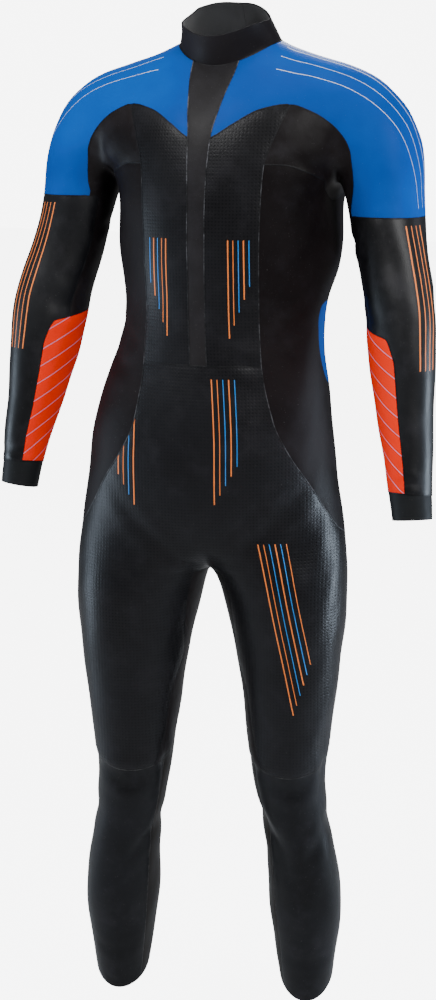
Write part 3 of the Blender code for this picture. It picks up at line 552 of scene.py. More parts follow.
# Creases pressed into the skin. Each row is a side (1 left, -1 right), a width, a depth, and points
# given as two numbers each: distance from the centre line and height on the trunk, or angle round the limb
# (0 outside, 90 in front) and height.
CREASES = {
    "front": (
        # where the front of each arm meets the chest
        (1, 0.007, 0.0034, (0.126, 1.407), (0.144, 1.402), (0.16, 1.393), (0.174, 1.38)),
        (1, 0.009, 0.0022, (0.168, 1.446), (0.176, 1.425), (0.179, 1.405)),
        (-1, 0.007, 0.0024, (0.144, 1.404), (0.16, 1.394), (0.174, 1.38)),
        (-1, 0.009, 0.0022, (0.166, 1.448), (0.175, 1.428), (0.179, 1.406)),
        # the waist
        (1, 0.007, 0.0019, (0.048, 1.134), (0.066, 1.13), (0.084, 1.12)),
        (1, 0.008, 0.002, (0.1, 1.16), (0.124, 1.17), (0.144, 1.186)),
        (-1, 0.008, 0.0022, (0.098, 1.15), (0.122, 1.158), (0.146, 1.178)),
        (-1, 0.008, 0.0018, (0.106, 1.112), (0.13, 1.118), (0.15, 1.13)),
        # the groin
        (1, 0.01, 0.0015, (0.02, 0.842), (0.06, 0.866), (0.104, 0.905), (0.14, 0.95)),
        (-1, 0.01, 0.0015, (0.02, 0.842), (0.058, 0.864), (0.102, 0.9), (0.138, 0.944)),
        (1, 0.008, 0.0011, (0.014, 0.866), (0.05, 0.892), (0.086, 0.93)),
        (-1, 0.008, 0.0011, (0.016, 0.862), (0.048, 0.886), (0.08, 0.92)),
        (1, 0.005, 0.003, (0.01, 0.834), (0.036, 0.838), (0.062, 0.848)),
        (-1, 0.005, 0.003, (0.012, 0.836), (0.034, 0.842), (0.056, 0.856)),
        (-1, 0.005, 0.0024, (0.018, 0.822), (0.044, 0.818), (0.07, 0.824)),
    ),
    "back": (
        # behind the armholes and between the shoulder blades
        (1, 0.01, 0.0035, (0.135, 1.408), (0.155, 1.396), (0.17, 1.378)),
        (-1, 0.01, 0.0035, (0.132, 1.402), (0.152, 1.392), (0.168, 1.376)),
        (1, 0.012, 0.0022, (0.07, 1.47), (0.09, 1.43), (0.094, 1.38)),
        (-1, 0.012, 0.0022, (0.068, 1.462), (0.088, 1.424), (0.092, 1.376)),
        # the small of the back
        (1, 0.009, 0.003, (0.03, 1.182), (0.08, 1.19), (0.125, 1.205)),
        (-1, 0.009, 0.003, (0.026, 1.16), (0.078, 1.166), (0.128, 1.184)),
        (1, 0.008, 0.0022, (0.022, 1.132), (0.07, 1.136), (0.11, 1.15)),
        # the fold under the seat
        (1, 0.011, 0.0045, (0.03, 0.822), (0.08, 0.812), (0.13, 0.818), (0.166, 0.834)),
        (-1, 0.011, 0.0045, (0.03, 0.822), (0.08, 0.812), (0.13, 0.818), (0.166, 0.834)),
    ),
    "arm": (
        # elbows: folds inside the bend, and a soft one outside
        (1, 0.014, 0.0022, (110, 1.196), (150, 1.19), (190, 1.196)),
        (1, 0.012, 0.0013, (120, 1.222), (155, 1.218), (185, 1.224)),
        (-1, 0.014, 0.0022, (104, 1.206), (146, 1.196), (190, 1.2)),
        (-1, 0.012, 0.0013, (118, 1.232), (150, 1.228), (182, 1.236)),
        (1, 0.016, 0.0012, (-40, 1.225), (-10, 1.214), (20, 1.222)),
        (-1, 0.016, 0.0012, (-44, 1.218), (-12, 1.21), (18, 1.22)),
        # under the caps' hems and above the cuffs
        (1, 0.007, 0.0022, (150, 1.312), (180, 1.306), (212, 1.314)),
        (-1, 0.007, 0.0022, (146, 1.322), (178, 1.314), (214, 1.324)),
        (1, 0.005, 0.0014, (30, 0.975), (80, 0.979), (130, 0.974)),
        (-1, 0.005, 0.0014, (24, 0.976), (74, 0.98), (126, 0.974)),
    ),
    "leg": (
        # knees: soft folds below and beside the kneecap, deeper ones behind
        (1, 0.009, 0.0026, (52, 0.488), (84, 0.48), (120, 0.49)),
        (-1, 0.009, 0.0026, (56, 0.49), (90, 0.482), (124, 0.492)),
        (1, 0.009, 0.002, (36, 0.56), (24, 0.53), (22, 0.5)),
        (-1, 0.009, 0.002, (140, 0.566), (150, 0.534), (152, 0.504)),
        (1, 0.008, 0.0036, (-50, 0.508), (-85, 0.516), (222, 0.508)),
        (-1, 0.008, 0.0036, (-52, 0.512), (-86, 0.52), (220, 0.512)),
        (1, 0.007, 0.0026, (-56, 0.48), (-86, 0.486), (228, 0.48)),
        (-1, 0.007, 0.0026, (-56, 0.54), (-84, 0.548), (226, 0.542)),
        # the hollows under the knee joint, where the calf begins
        (-1, 0.016, 0.0022, (-30, 0.436), (0, 0.432), (34, 0.422)),
        (-1, 0.016, 0.0024, (148, 0.396), (180, 0.41), (212, 0.42)),
        (1, 0.016, 0.0018, (-30, 0.432), (0, 0.428), (30, 0.42)),
        (1, 0.014, 0.004, (196, 0.448), (160, 0.428), (130, 0.392), (114, 0.34)),
        # shins and ankles
        (-1, 0.008, 0.0026, (150, 0.398), (128, 0.372), (104, 0.34)),
        (1, 0.008, 0.002, (44, 0.402), (62, 0.38), (84, 0.356)),
        (1, 0.006, 0.0018, (40, 0.196), (80, 0.188), (124, 0.2)),
        (-1, 0.006, 0.0018, (46, 0.204), (86, 0.194), (130, 0.206)),
        (1, 0.006, 0.0018, (-40, 0.25), (-80, 0.256), (226, 0.25)),
        (-1, 0.006, 0.0018, (-44, 0.246), (-82, 0.252), (228, 0.248)),
    ),
}
CREASE_LIP = 0.40
CREASE_END = 0.04
CREASE_FADE = 0.7
FAR = 9.0

# Where the arms and legs begin for the creases, and how far round a limb an angle reaches.
ARM_AWAY = 0.19
ARM_LOW_HEIGHT = 0.88
ARM_INNER_EDGE = table("z away", (0.88, 0.22), (1.3, 0.195), (1.4, 0.195))
LEG_TOP_HEIGHT = 0.84
LIMB_RADIUS = 0.05

# The worn skin's own unevenness, and the step at the knee seam.
BROAD_UNEVENNESS = 0.0007
FINE_UNEVENNESS = 0.0004
KNEE_STEP = 0.0030
KNEE_STEP_WIDTH = 0.004
KNEE_STEP_REACH = 0.020
KNEE_STEP_SPREAD = 1.4

# The collar stands higher behind on the wearer's right: where its rise starts each way, and over what length.
COLLAR_RISE = 0.012
COLLAR_RISE_UP = (1.572, 0.030)
COLLAR_RISE_BACK = (-0.012, 0.055)
COLLAR_RISE_RIGHT = (-0.004, 0.062)

# What each point keeps for the materials: its place on the plain skin, and its angle in hundreds of degrees.
PANEL_KEYS = ("rest", "around")
ANGLE_UNIT = 100.0


def limb_angle(p):
    """Angle round whichever arm or leg a point lies on."""
    return np.where((p.away > ARM_AWAY) & (p.z > ARM_LOW_HEIGHT), arm_angle(p), leg_angle(p))


def nearest_points(p, place, side, spots):
    """The skin's own points nearest to the spots that a crease runs through."""
    on_arm = (p.away > np.interp(p.z, *zip(*ARM_INNER_EDGE))) & (p.z > ARM_LOW_HEIGHT)
    on_place = {"front": ~on_arm & p.front, "back": ~on_arm & ~p.front, "arm": on_arm,
                "leg": ~on_arm & (p.z < LEG_TOP_HEIGHT)}[place]
    found = []
    for first, height in spots:
        if place in ("front", "back"):
            beside = p.away - first
        else:
            beside = np.radians((limb_angle(p) - first + 180.0) % 360.0 - 180.0) * LIMB_RADIUS
        miss = np.hypot(beside, p.z - height)
        found.append(p.places[np.argmin(np.where(on_place & (p.x * side > 0.0), miss, FAR))])
    return found


def crease_depth(p, place, side, width, depth, spots):
    """How far a crease lowers each point: a trough, with a low lip on both sides."""
    line = nearest_points(p, place, side, spots)
    away, along = np.full(len(p.z), FAR), np.zeros(len(p.z))
    for index, (start, end) in enumerate(zip(line, line[1:])):
        run = end - start
        share = np.clip((p.places - start) @ run / (run @ run), 0.0, 1.0)
        distance = np.linalg.norm(p.places - start - share[:, None] * run, axis=1)
        along = np.where(distance < away, (index + share) / (len(line) - 1), along)
        away = np.minimum(away, distance)
    fade = np.sin(math.pi * np.clip(along, CREASE_END, 1.0 - CREASE_END)) ** CREASE_FADE
    lip = np.exp(-((away - 2.0 * width) / width) ** 2)
    return depth * fade * (CREASE_LIP * lip - np.exp(-(away / width) ** 2))


def knee_step(p, angle):
    """The long front panel stands out round the kneecap, and the shin panel sinks in below its seam."""
    off = np.abs(angle - 90.0)
    above = p.z - knee_seam_height(off)
    step = KNEE_STEP * np.tanh(above / KNEE_STEP_WIDTH) * np.exp(-np.abs(above) / KNEE_STEP_REACH)
    return np.where(p.z < LEG_TOP_HEIGHT, step * np.clip(KNEE_STEP_SPREAD - off / 90.0, 0.0, 1.0), 0.0)


def ramp(value, start, width):
    """0 up to a start, and 1 from a width past it."""
    return np.clip((value - start) / width, 0.0, 1.0)


def collar_rise(p):
    up, behind = ramp(p.z, *COLLAR_RISE_UP) ** 2, ramp(p.y, *COLLAR_RISE_BACK)
    right = ramp(-p.x, *COLLAR_RISE_RIGHT)
    return COLLAR_RISE * up * behind * right * right * (3.0 - 2.0 * right)


def press_creases(skin):
    """Keeps every point's place on the plain skin for the materials, then moves it in or out."""
    rest, around = (skin.verts.layers.float_vector.new(key) for key in PANEL_KEYS)
    skin.normal_update()
    p = Points([vert.co for vert in skin.verts])
    angle = limb_angle(p)
    shift = sum(crease_depth(p, place, side, width, depth, spots)
                for place, rows in CREASES.items() for side, width, depth, *spots in rows)
    broad = np.sin(31.0 * p.x + 17.0 * p.z + 2.0 * np.sin(23.0 * p.y + 9.0 * p.z))
    fine = np.sin(67.0 * p.z - 41.0 * p.x + 3.0 * np.sin(29.0 * p.x + 37.0 * p.y))
    shift += knee_step(p, angle) + BROAD_UNEVENNESS * broad + FINE_UNEVENNESS * fine
    for vert, offset, turn, rise in zip(skin.verts, shift, angle, collar_rise(p)):
        vert[rest] = vert.co
        vert[around] = (turn / ANGLE_UNIT, 0.0, 0.0)
        vert.co = vert.co + vert.normal * float(offset) + Vector((0.0, 0.0, float(rise)))
    skin.normal_update()


WORN_ROLL = 0.0004
SHARPEST_CORNER = 0.3
SHARP_EDGE = math.radians(42.0)


def panel_sides(members, slit):
    """The sides of a panel's faces where it ends, and whether another panel lies beyond."""
    inside = set(members)
    for face in members:
        for loop in face.loops:
            others = [other for other in loop.edge.link_faces if other is not face]
            if not others or others[0] not in inside or loop.edge in slit:
                yield face, loop.vert, loop.link_loop_next.vert, bool(others)


def panel_mesh(skin, name, members, thickness, sink=0.0, slit=()):
    """A thin shell under some of the skin's faces: outer face, inner lining and cut edges.

    Along a seam it draws back by half the gap, and its outer edge is rolled in by wear.
    """
    slit_verts = {vert for edge in slit for vert in edge.verts}
    layers = [skin.verts.layers.float_vector[key] for key in PANEL_KEYS]
    solid = bmesh.new()
    copies = [solid.verts.layers.float_vector.new(key) for key in PANEL_KEYS]
    pulls, corners = {}, {}

    def slit_side(face):
        return (face.calc_center_median().x > 0.0) if slit else None

    for face, start, end, is_seam in panel_sides(members, slit):
        if is_seam:
            inward = face.normal.cross(end.co - start.co).normalized()
            for vert in (start, end):
                pulls.setdefault((vert, slit_side(face)), []).append(inward)

    def pair(vert, face):
        """The outer and inner vertex of a corner, made once, or once on each side of the slit."""
        key = (vert, slit_side(face) if vert in slit_verts else None)
        if key not in corners:
            directions = pulls.get((vert, slit_side(face)), [])
            mean = sum(directions, Vector()) / max(len(directions), 1)
            shift = mean * (SEAM_GAP / 2.0) / max(mean.length_squared, SHARPEST_CORNER)
            depths = (sink + (WORN_ROLL if directions else 0.0), sink + thickness)
            corners[key] = [solid.verts.new(turned(vert.co - vert.normal * depth + shift, name))
                            for depth in depths]
            for new in corners[key]:
                for layer, copy in zip(layers, copies):
                    new[copy] = vert[layer]
        return corners[key]

    for face in members:
        outer, inner = zip(*[pair(vert, face) for vert in face.verts])
        solid.faces.new(outer)
        solid.faces.new(inner[::-1]).material_index = 1
    for face, start, end, is_seam in panel_sides(members, slit):
        (start_out, start_in), (end_out, end_in) = pair(start, face), pair(end, face)
        solid.faces.new((end_out, start_out, start_in, end_in)).material_index = 2
    return solid


def put(name, bm, *materials, body="suit", smooth=True):
    """Turns a mesh in wearer heights into a piece that rides on a body."""
    bmesh.ops.translate(bm, vec=(0.0, 0.0, -SHOULDER_HEIGHT), verts=bm.verts)
    mesh = bpy.data.meshes.new(name)
    bm.to_mesh(mesh)
    bm.free()
    if smooth:
        mesh.shade_smooth()
        mesh.set_sharp_from_angle(angle=SHARP_EDGE)
    for material in materials:
        mesh.materials.append(material)
    item = bpy.data.objects.new(name, mesh)
    bpy.context.collection.objects.link(item)
    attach(item, body)
    return item


skin = sewn_skin(SKIN_LEVEL)
press_creases(skin)

# ---------------------------------------------------------------- rubber and lining
# The outside is smooth-skin neoprene: closed rubber with a low, broad shine, finger marks and dust. Inside is
# a thin knitted nylon jersey, laminated to the foam.


class Reading:
    """A number, colour or vector that a node puts out. Sums and comparisons of readings add math nodes."""

    def __init__(self, socket):
        self.socket = socket
        self.tree = socket.id_data

    def __abs__(self):
        return calc("ABSOLUTE", self)

    def __add__(self, other):
        return calc("ADD", self, other)

    def __sub__(self, other):
        return calc("SUBTRACT", self, other)

    def __mul__(self, other):
        return calc("MULTIPLY", self, other)

    def __truediv__(self, other):
        return calc("DIVIDE", self, other)

    def __pow__(self, other):
        return calc("POWER", self, other)

    def __gt__(self, other):
        return calc("GREATER_THAN", self, other)

    def __lt__(self, other):
        return calc("LESS_THAN", self, other)


def feed(node, inputs):
    """Feeds a node's inputs from readings, or sets them to numbers and colours."""
    for key, value in inputs.items():
        if isinstance(value, Reading):
            value.tree.links.new(value.socket, node.inputs[key])
        else:
            is_colour = node.inputs[key].type == "RGBA"
            node.inputs[key].default_value = (*value, 1.0) if is_colour else value


def add_node(tree, kind, inputs, **settings):
    node = tree.nodes.new("ShaderNode" + kind)
    for setting, value in settings.items():
        setattr(node, setting, value)
    feed(node, inputs)
    return node


def calc(operation, *values):
    tree = next(value.tree for value in values if isinstance(value, Reading))
    return Reading(add_node(tree, "Math", dict(enumerate(values)), operation=operation).outputs[0])


def any_of(masks):
    """The largest of some masks at each place."""
    result = masks[0]
    for mask in masks[1:]:
        result = calc("MAXIMUM", result, mask)
    return result


def remap(value, low, high, new_low=0.0, new_high=1.0):
    numbers = dict(enumerate((value, low, high, new_low, new_high)))
    return Reading(add_node(value.tree, "MapRange", numbers, interpolation_type="SMOOTHSTEP").outputs[0])


def mix_colour(share, first, second):
    """A Mix node takes its share at input 0 and its colours at 6 and 7, and puts its colour out at 2."""
    return Reading(add_node(share.tree, "Mix", {0: share, 6: first, 7: second}, data_type="RGBA").outputs[2])


def noise(place, scale, detail=3.0, roughness=0.55):
    inputs = {"Vector": place, "Scale": scale, "Detail": detail, "Roughness": roughness}
    return Reading(add_node(place.tree, "TexNoise", inputs).outputs[0])


def split(vector):
    return [Reading(socket) for socket in add_node(vector.tree, "SeparateXYZ", {0: vector}).outputs]


def kept(tree, name):
    """A vector that panel_mesh kept on each point of a piece: its plain place, or its angle round a limb."""
    return Reading(add_node(tree, "Attribute", {}, attribute_name=name).outputs["Vector"])


def node_group(work_out, inputs, outputs):
    """An effect that materials share, named after the function that works it out."""
    tree = bpy.data.node_groups.new(work_out.__name__, "ShaderNodeTree")
    for label in inputs:
        kind = "NodeSocketVector" if label == "Place" else "NodeSocketFloat"
        tree.interface.new_socket(name=label, in_out="INPUT", socket_type=kind)
    for label in outputs:
        tree.interface.new_socket(name=label, in_out="OUTPUT", socket_type="NodeSocketFloat")
    given = tree.nodes.new("NodeGroupInput")
    results = work_out(*[Reading(socket) for socket in given.outputs[:len(inputs)]])
    feed(tree.nodes.new("NodeGroupOutput"), dict(enumerate(results)))
    return tree


def use(shared, *values):
    """Places a shared effect beside its first value, and gives what it puts out."""
    node = add_node(values[0].tree, "Group", dict(enumerate(values)), node_tree=shared)
    return [Reading(socket) for socket in node.outputs]


def rubber_wear(place):
    """Masks shared by all rubber: broad tone, finger marks and dust, and a fine height."""
    marks = remap(noise(place, 26.0, 5.0, 0.65), 0.45, 0.75)
    dust = remap(noise(place, 420.0, 2.0, 0.6), 0.66, 0.80)
    height = noise(place, 900.0, 3.0, 0.6) * 0.25 + noise(place, 60.0, 3.0, 0.5)
    return noise(place, 5.0, 4.0), marks, dust, height


def dimples(place, pitch):
    """A square grid of small round dimples, pressed into the front panels."""
    x, y, z = split(place)
    turn = calc("DIVIDE", math.tau, pitch)
    return [remap(calc("COSINE", x * turn) + calc("COSINE", z * turn), 0.2, 1.8, 1.0, 0.0)]


def pin_line(value, middle, half_width):
    """One thin printed line: 1 where the value is near the middle, 0 elsewhere."""
    return [remap(abs(value - middle), half_width * 0.75, half_width * 1.25, 1.0, 0.0)]


def between(value, low, high):
    """1 between two values, 0 outside."""
    return [(value > low) * (value < high)]


RUBBER_WEAR = node_group(rubber_wear, ["Place"], ["Tone", "Marks", "Dust", "Height"])
DIMPLES = node_group(dimples, ["Place", "Pitch"], ["Height"])
PIN_LINE = node_group(pin_line, ["Value", "Middle", "Half Width"], ["Mask"])
BETWEEN = node_group(between, ["Value", "Low", "High"], ["Mask"])


def new_material(name, on_skin=True):
    """A new material, and its places: those on the plain skin, or else in the piece's own space."""
    material = bpy.data.materials.new(name)
    material.use_nodes = True
    if on_skin:
        return material, kept(material.node_tree, "rest")
    return material, Reading(add_node(material.node_tree, "TexCoord", {}).outputs["Object"])


def finish(material, inputs, relief=None):
    """Feeds a material's shader, and raises its surface by a relief in metres."""
    tree = material.node_tree
    if relief:
        bump = add_node(tree, "Bump", {"Strength": 1.0, "Distance": 1.0, "Height": relief})
        inputs["Normal"] = Reading(bump.outputs[0])
    feed(tree.nodes["Principled BSDF"], inputs)
    return material


HAZE = (0.032, 0.030, 0.038)
MARKS_ROUGHNESS = 0.07
TONE_ROUGHNESS = 0.05
DUST = (0.35, 0.34, 0.33)
DUST_SHARE = 0.10
# The flat round the dimples is painted lighter, so that the hollows stay dark: painted shade in the dimples.
PAINTED_DIMPLE_SHADING = (0.0135, 0.0130, 0.0150)
PAINTED_DIMPLE_SHADING_SHARE = 0.42
DIMPLE_PITCH = 0.0048
GRAIN_RISE = 0.00035
PRINT_RISE = 0.0001


def rubber(name, colour, light, rough, dimple_depth=0.0, prints=None, haze=0.22, shine=0.18):
    """Smooth-skin neoprene of one colour, with its dimples, painted shade in their hollows, and its printed
    lines.
    """
    material, place = new_material(name)
    tone, marks, dust, height = use(RUBBER_WEAR, place)
    base = mix_colour(remap(tone, 0.35, 0.70), colour, light)
    base = mix_colour(marks * haze, base, HAZE)
    base = mix_colour(dust * DUST_SHARE, base, DUST)
    relief = height * GRAIN_RISE
    if dimple_depth:
        grid = use(DIMPLES, place, DIMPLE_PITCH)[0]
        # painted shade: the flat round each dimple is painted lighter than its hollow
        base = mix_colour(grid * PAINTED_DIMPLE_SHADING_SHARE, base, PAINTED_DIMPLE_SHADING)
        relief = relief + grid * dimple_depth
    printed = prints(place) if prints else ()
    for mask, print_colour in printed:
        base = mix_colour(mask, base, print_colour)
    if printed:
        relief = relief + any_of([mask for mask, print_colour in printed]) * PRINT_RISE
    toned = remap(tone, 0.3, 0.7, rough - TONE_ROUGHNESS, rough + TONE_ROUGHNESS)
    roughness = toned + marks * MARKS_ROUGHNESS
    return finish(material, {"Base Color": base, "Roughness": roughness, "Specular IOR Level": shine}, relief)


STITCH_HEIGHT = 0.0012
STITCH_WIDTH = 0.0010


def jersey(name, dark, light):
    """Knitted nylon: rows of small stitches."""
    material, place = new_material(name)
    x, y, z = split(place)
    knit = calc("SINE", z * (math.tau / STITCH_HEIGHT)) * calc("SINE", (x + y) * (math.tau / STITCH_WIDTH))
    base = mix_colour(knit * 0.25 + noise(place, 30.0), dark, light)
    return finish(material, {"Base Color": base, "Roughness": 0.85, "Sheen Weight": 0.25}, knit * 0.00015)


def foam(name, dark, light):
    """The sheet's cut edge: matt closed-cell foam."""
    material, place = new_material(name)
    cells = noise(place, 1400.0, 2.0, 0.6)
    inputs = {"Base Color": mix_colour(cells, dark, light), "Roughness": 0.9, "Specular IOR Level": 0.1}
    return finish(material, inputs, cells * 0.0002)


FOAM_EDGE = foam("foam_edge", (0.0035, 0.0032, 0.0042), (0.0080, 0.0070, 0.0090))
LINING = jersey("jersey_lining", (0.020, 0.021, 0.024), (0.050, 0.052, 0.058))
BLACK = ((0.0014, 0.0014, 0.0020), (0.0056, 0.0060, 0.0078))
BODY_WALL = 0.003
COLLAR_BACK_Y = 0.03
ON_CENTRE_LINE = 3e-4
SIDES = ("left", "right")


def cloth_piece(kind, side, material, wall=BODY_WALL, sink=0.0):
    """Builds one panel as a shell, in place of its node."""
    name = f"{kind}_{side}" if side else kind
    faces = panel_faces(skin, kind, {"left": 1.0, "right": -1.0, "": 0.0}[side])
    slit = set()
    if kind == "collar":
        faces += panel_faces(skin, "collar_tab")
        slit = {edge for face in faces for edge in face.edges
                if all(abs(vert.co.x) < ON_CENTRE_LINE and vert.co.y > COLLAR_BACK_Y for vert in edge.verts)}
    solid = panel_mesh(skin, name, faces, wall, sink, slit)
    item = put(f"{name}_cloth", solid, material, LINING, FOAM_EDGE)
    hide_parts(name)

# ---------------------------------------------------------------- front and seat
# Black smooth-skin sheet, 3 mm thick. The chest panels and the long front panel have a dimple grid pressed
# into the rubber when it is moulded, with painted shade in the dimples, and printed pinstripes. The narrow
# throat strip is plain.

STRIPE_HALF_WIDTH = 0.0006
THIN_LINE = 0.9
BROAD_LINE = 1.4
PRINT_ORANGE = (0.95, 0.24, 0.05)
PRINT_BLUE = (0.03, 0.28, 0.82)


def line_set(value, first, pitch, count, half_width, height, low, high, step=0.0):
    """Masks of parallel printed lines between two heights, each next one starting a step higher.

    Every third line is broad.
    """
    masks = []
    for index in range(count):
        line_width = half_width * (THIN_LINE if index % 3 else BROAD_LINE)
        line = use(PIN_LINE, value, first + pitch * index, line_width)[0]
        masks.append(line * use(BETWEEN, height, low + step * index, high)[0])
    return masks


def in_orange_and_blue(*sets):
    """Prints each set's third and fifth line in blue, and its other lines in orange."""
    blue = [lines[index] for lines in sets for index in (2, 4) if index < len(lines)]
    orange = [lines[index] for lines in sets for index in (0, 1, 3, 5) if index < len(lines)]
    return (any_of(orange), PRINT_ORANGE), (any_of(blue), PRINT_BLUE)


def chest_prints(place):
    x, y, z = split(place)
    return in_orange_and_blue(line_set(abs(x), 0.046, 0.007, 5, STRIPE_HALF_WIDTH, z, 1.165, 1.300, 0.018))


def thigh_prints(place):
    """Stripes at the waist and the hip, and slanting ones on the thigh."""
    x, y, z = split(place)
    return in_orange_and_blue(
        line_set(x, 0.018, 0.008, 5, STRIPE_HALF_WIDTH, z, 0.930, 1.108, 0.014),
        line_set(x, -0.124, 0.008, 4, STRIPE_HALF_WIDTH, z, 0.965, 1.090, -0.014),
        line_set(x + z * 0.20, 0.252, 0.008, 6, STRIPE_HALF_WIDTH, z, 0.610, 0.870, 0.016))


plain_black = rubber("neoprene_black", *BLACK, 0.37)
charcoal = rubber("neoprene_charcoal", (0.0085, 0.0075, 0.0085), (0.0160, 0.0145, 0.0160), 0.50)
chest_black = rubber("neoprene_black_chest", *BLACK, 0.40, dimple_depth=0.00011, prints=chest_prints)
thigh_black = rubber("neoprene_black_thigh", *BLACK, 0.38, dimple_depth=0.00015, prints=thigh_prints)

cloth_piece("centre_front", "", charcoal)
for side in SIDES:
    cloth_piece("front", side, chest_black)
cloth_piece("front_lower", "", thigh_black)
cloth_piece("seat", "", plain_black)

# ---------------------------------------------------------------- back, sides and legs
# The back panels and shins are the same black sheet. The flanks, inner thighs and calves are a softer sheet
# whose black is a little brown, and the small of the back has a dark blue panel that shows at the waist.

BROWN_BLACK = ((0.0042, 0.0028, 0.0032), (0.0100, 0.0072, 0.0080))
DARK_BLUE = ((0.000, 0.042, 0.220), (0.000, 0.060, 0.300))
BLUE_MIDDLE_HEIGHT = 1.150
BLUE_HALF_HEIGHT = 0.060
BLUE_STRAIGHT_Y = 0.045
BLUE_END_LENGTH = 0.048
BLUE_CORNER_POWER = 5.0


def flank_prints(place):
    """The blue of the lumbar sheet runs on over the flank, to a rounded front end."""
    x, y, z = split(place)
    up = abs(z - BLUE_MIDDLE_HEIGHT) / BLUE_HALF_HEIGHT
    ahead = calc("MAXIMUM", calc("SUBTRACT", BLUE_STRAIGHT_Y, y), 0.0) / BLUE_END_LENGTH
    return [(up ** BLUE_CORNER_POWER + ahead ** BLUE_CORNER_POWER < 1.0, DARK_BLUE[0])]


flank_black = rubber("neoprene_flank", *BROWN_BLACK, 0.54, prints=flank_prints, haze=0.15, shine=0.10)
brown_black = rubber("neoprene_brown_black", *BROWN_BLACK, 0.46)
dark_blue = rubber("neoprene_dark_blue", *DARK_BLUE, 0.50, haze=0.0, shine=0.10)
calf_black = rubber("neoprene_calf", (0.0090, 0.0078, 0.0072), (0.0180, 0.0155, 0.0140), 0.50)

for side in SIDES:
    cloth_piece("back", side, plain_black)
    cloth_piece("side", side, flank_black)
    cloth_piece("lumbar", side, dark_blue)
    cloth_piece("thigh_back", side, brown_black)
    cloth_piece("calf", side, calf_black)
    cloth_piece("shin", side, plain_black)

# ---------------------------------------------------------------- shoulder caps
# One blue panel covers each shoulder, half of the yoke and the upper arm. Plain white pinstripes are printed
# from beside the collar over the shoulder and down the arm.

PRINT_WHITE = (0.72, 0.82, 0.95)
CAP_LINES_FROM_HEM = 0.012
CAP_LINES_FROM_CENTRE = 0.088
SHOULDER_BEND_AWAY = 0.135
SHOULDER_BEND_HEIGHT = 1.330
SHOULDER_BEND_RADIUS = 0.105
SHOULDER_BEND_Y = 0.030


def cap_hem(x):
    """The height of the caps' hem, which is lower on the left arm."""
    return (x < 0.0) * (CAP_HEM_HEIGHT["right"] - CAP_HEM_HEIGHT["left"]) + CAP_HEM_HEIGHT["left"]


def cap_prints(place):
    """Lines at even angles round the bend of the shoulder, so that they run on down the arm."""
    x, y, z = split(place)
    beside = calc("MAXIMUM", abs(x) - SHOULDER_BEND_AWAY, 0.0)
    above = calc("MAXIMUM", z - SHOULDER_BEND_HEIGHT, 0.0)
    bend = calc("SQRT", beside ** 2.0 + above ** 2.0)
    turn = calc("ARCTAN2", calc("SUBTRACT", SHOULDER_BEND_Y, y), bend - SHOULDER_BEND_RADIUS)
    lines = line_set(turn, 0.08, 0.22, 3, 0.0048, z, 0.0, 2.0)
    reach = (z > cap_hem(x) + CAP_LINES_FROM_HEM) * (abs(x) > CAP_LINES_FROM_CENTRE)
    return [(any_of(lines) * reach, PRINT_WHITE)]


cap_blue = rubber("neoprene_blue", (0.000, 0.056, 0.310), (0.000, 0.086, 0.430), 0.48,
                  prints=cap_prints, haze=0.0, shine=0.06)
cloth_piece("shoulder", "left", cap_blue)
cloth_piece("shoulder", "right", cap_blue)

# ---------------------------------------------------------------- sleeves
# Thin 2 mm sheet for reach: black round the arm, brown-black inside the upper arm, and an orange panel that
# wraps the inner forearm, with slanting pinstripes.

SLEEVE_WALL = 0.002
SLEEVE_LINES_UNDER_HEM = 0.010
RIGHT_ARM_ROLL = 27.0
OUTSIDE_SLOPE = -0.18
OUTSIDE_Y = -0.208
PRINT_PLUM = (0.62, 0.24, 0.36)
FOREARM_STRIPE_PITCH = 0.026
FOREARM_STRIPE_SLOPE = 0.045


def sleeve_prints(place):
    """Lines along the outside of the arm, a step further round on the right arm."""
    x, y, z = split(place)
    turn = split(kept(place.tree, "around"))[0] * ANGLE_UNIT - (x < 0.0) * RIGHT_ARM_ROLL
    lines = line_set(turn, 20.0, 9.0, 4, 0.75, z, 1.130, 2.0)
    reach = (z < cap_hem(x) - SLEEVE_LINES_UNDER_HEM) * (y + z * OUTSIDE_SLOPE < OUTSIDE_Y)
    return [(any_of(lines) * reach, PRINT_ORANGE)]


def forearm_prints(place):
    """Stripes that climb towards the inside of the arm, one every 26 mm."""
    x, y, z = split(place)
    along = z - split(kept(place.tree, "around"))[0] * FOREARM_STRIPE_SLOPE
    share = calc("FRACT", along / FOREARM_STRIPE_PITCH)
    return [(use(PIN_LINE, share, 0.5, 0.034)[0], PRINT_PLUM)]


sleeve_black = rubber("neoprene_black_sleeve", *BLACK, 0.42, prints=sleeve_prints, shine=0.30)
orange = rubber("neoprene_orange", (0.880, 0.018, 0.000), (1.000, 0.026, 0.000), 0.54,
                prints=forearm_prints, haze=0.0, shine=0.04)
cloth_piece("sleeve", "left", sleeve_black, SLEEVE_WALL)
cloth_piece("sleeve", "right", sleeve_black, SLEEVE_WALL)
cloth_piece("forearm", "left", orange, SLEEVE_WALL)
cloth_piece("forearm", "right", orange, SLEEVE_WALL)
for side in SIDES:
    cloth_piece("underarm", side, brown_black, SLEEVE_WALL)

# ---------------------------------------------------------------- cuffs, collar and collar tab
# The cuffs are short bands of matt rubber-coated stretch cloth. The collar is a stand-up band of soft smooth
# neoprene that closes at the back under a tab with hook and loop.

CUFF_SINK = 0.0006
COLLAR_WALL = 0.0025
TAB_WALL = 0.0015

cuff_rubber = rubber("cuff_rubber", (0.010, 0.011, 0.012), (0.018, 0.019, 0.021), 0.55, haze=0.0, shine=0.10)
collar_black = rubber("collar_black", (0.011, 0.0095, 0.011), (0.018, 0.0155, 0.018), 0.50,
                      haze=0.0, shine=0.10)
for side in SIDES:
    cloth_piece("cuff", side, cuff_rubber, SLEEVE_WALL, CUFF_SINK)
cloth_piece("collar", "", collar_black, COLLAR_WALL)

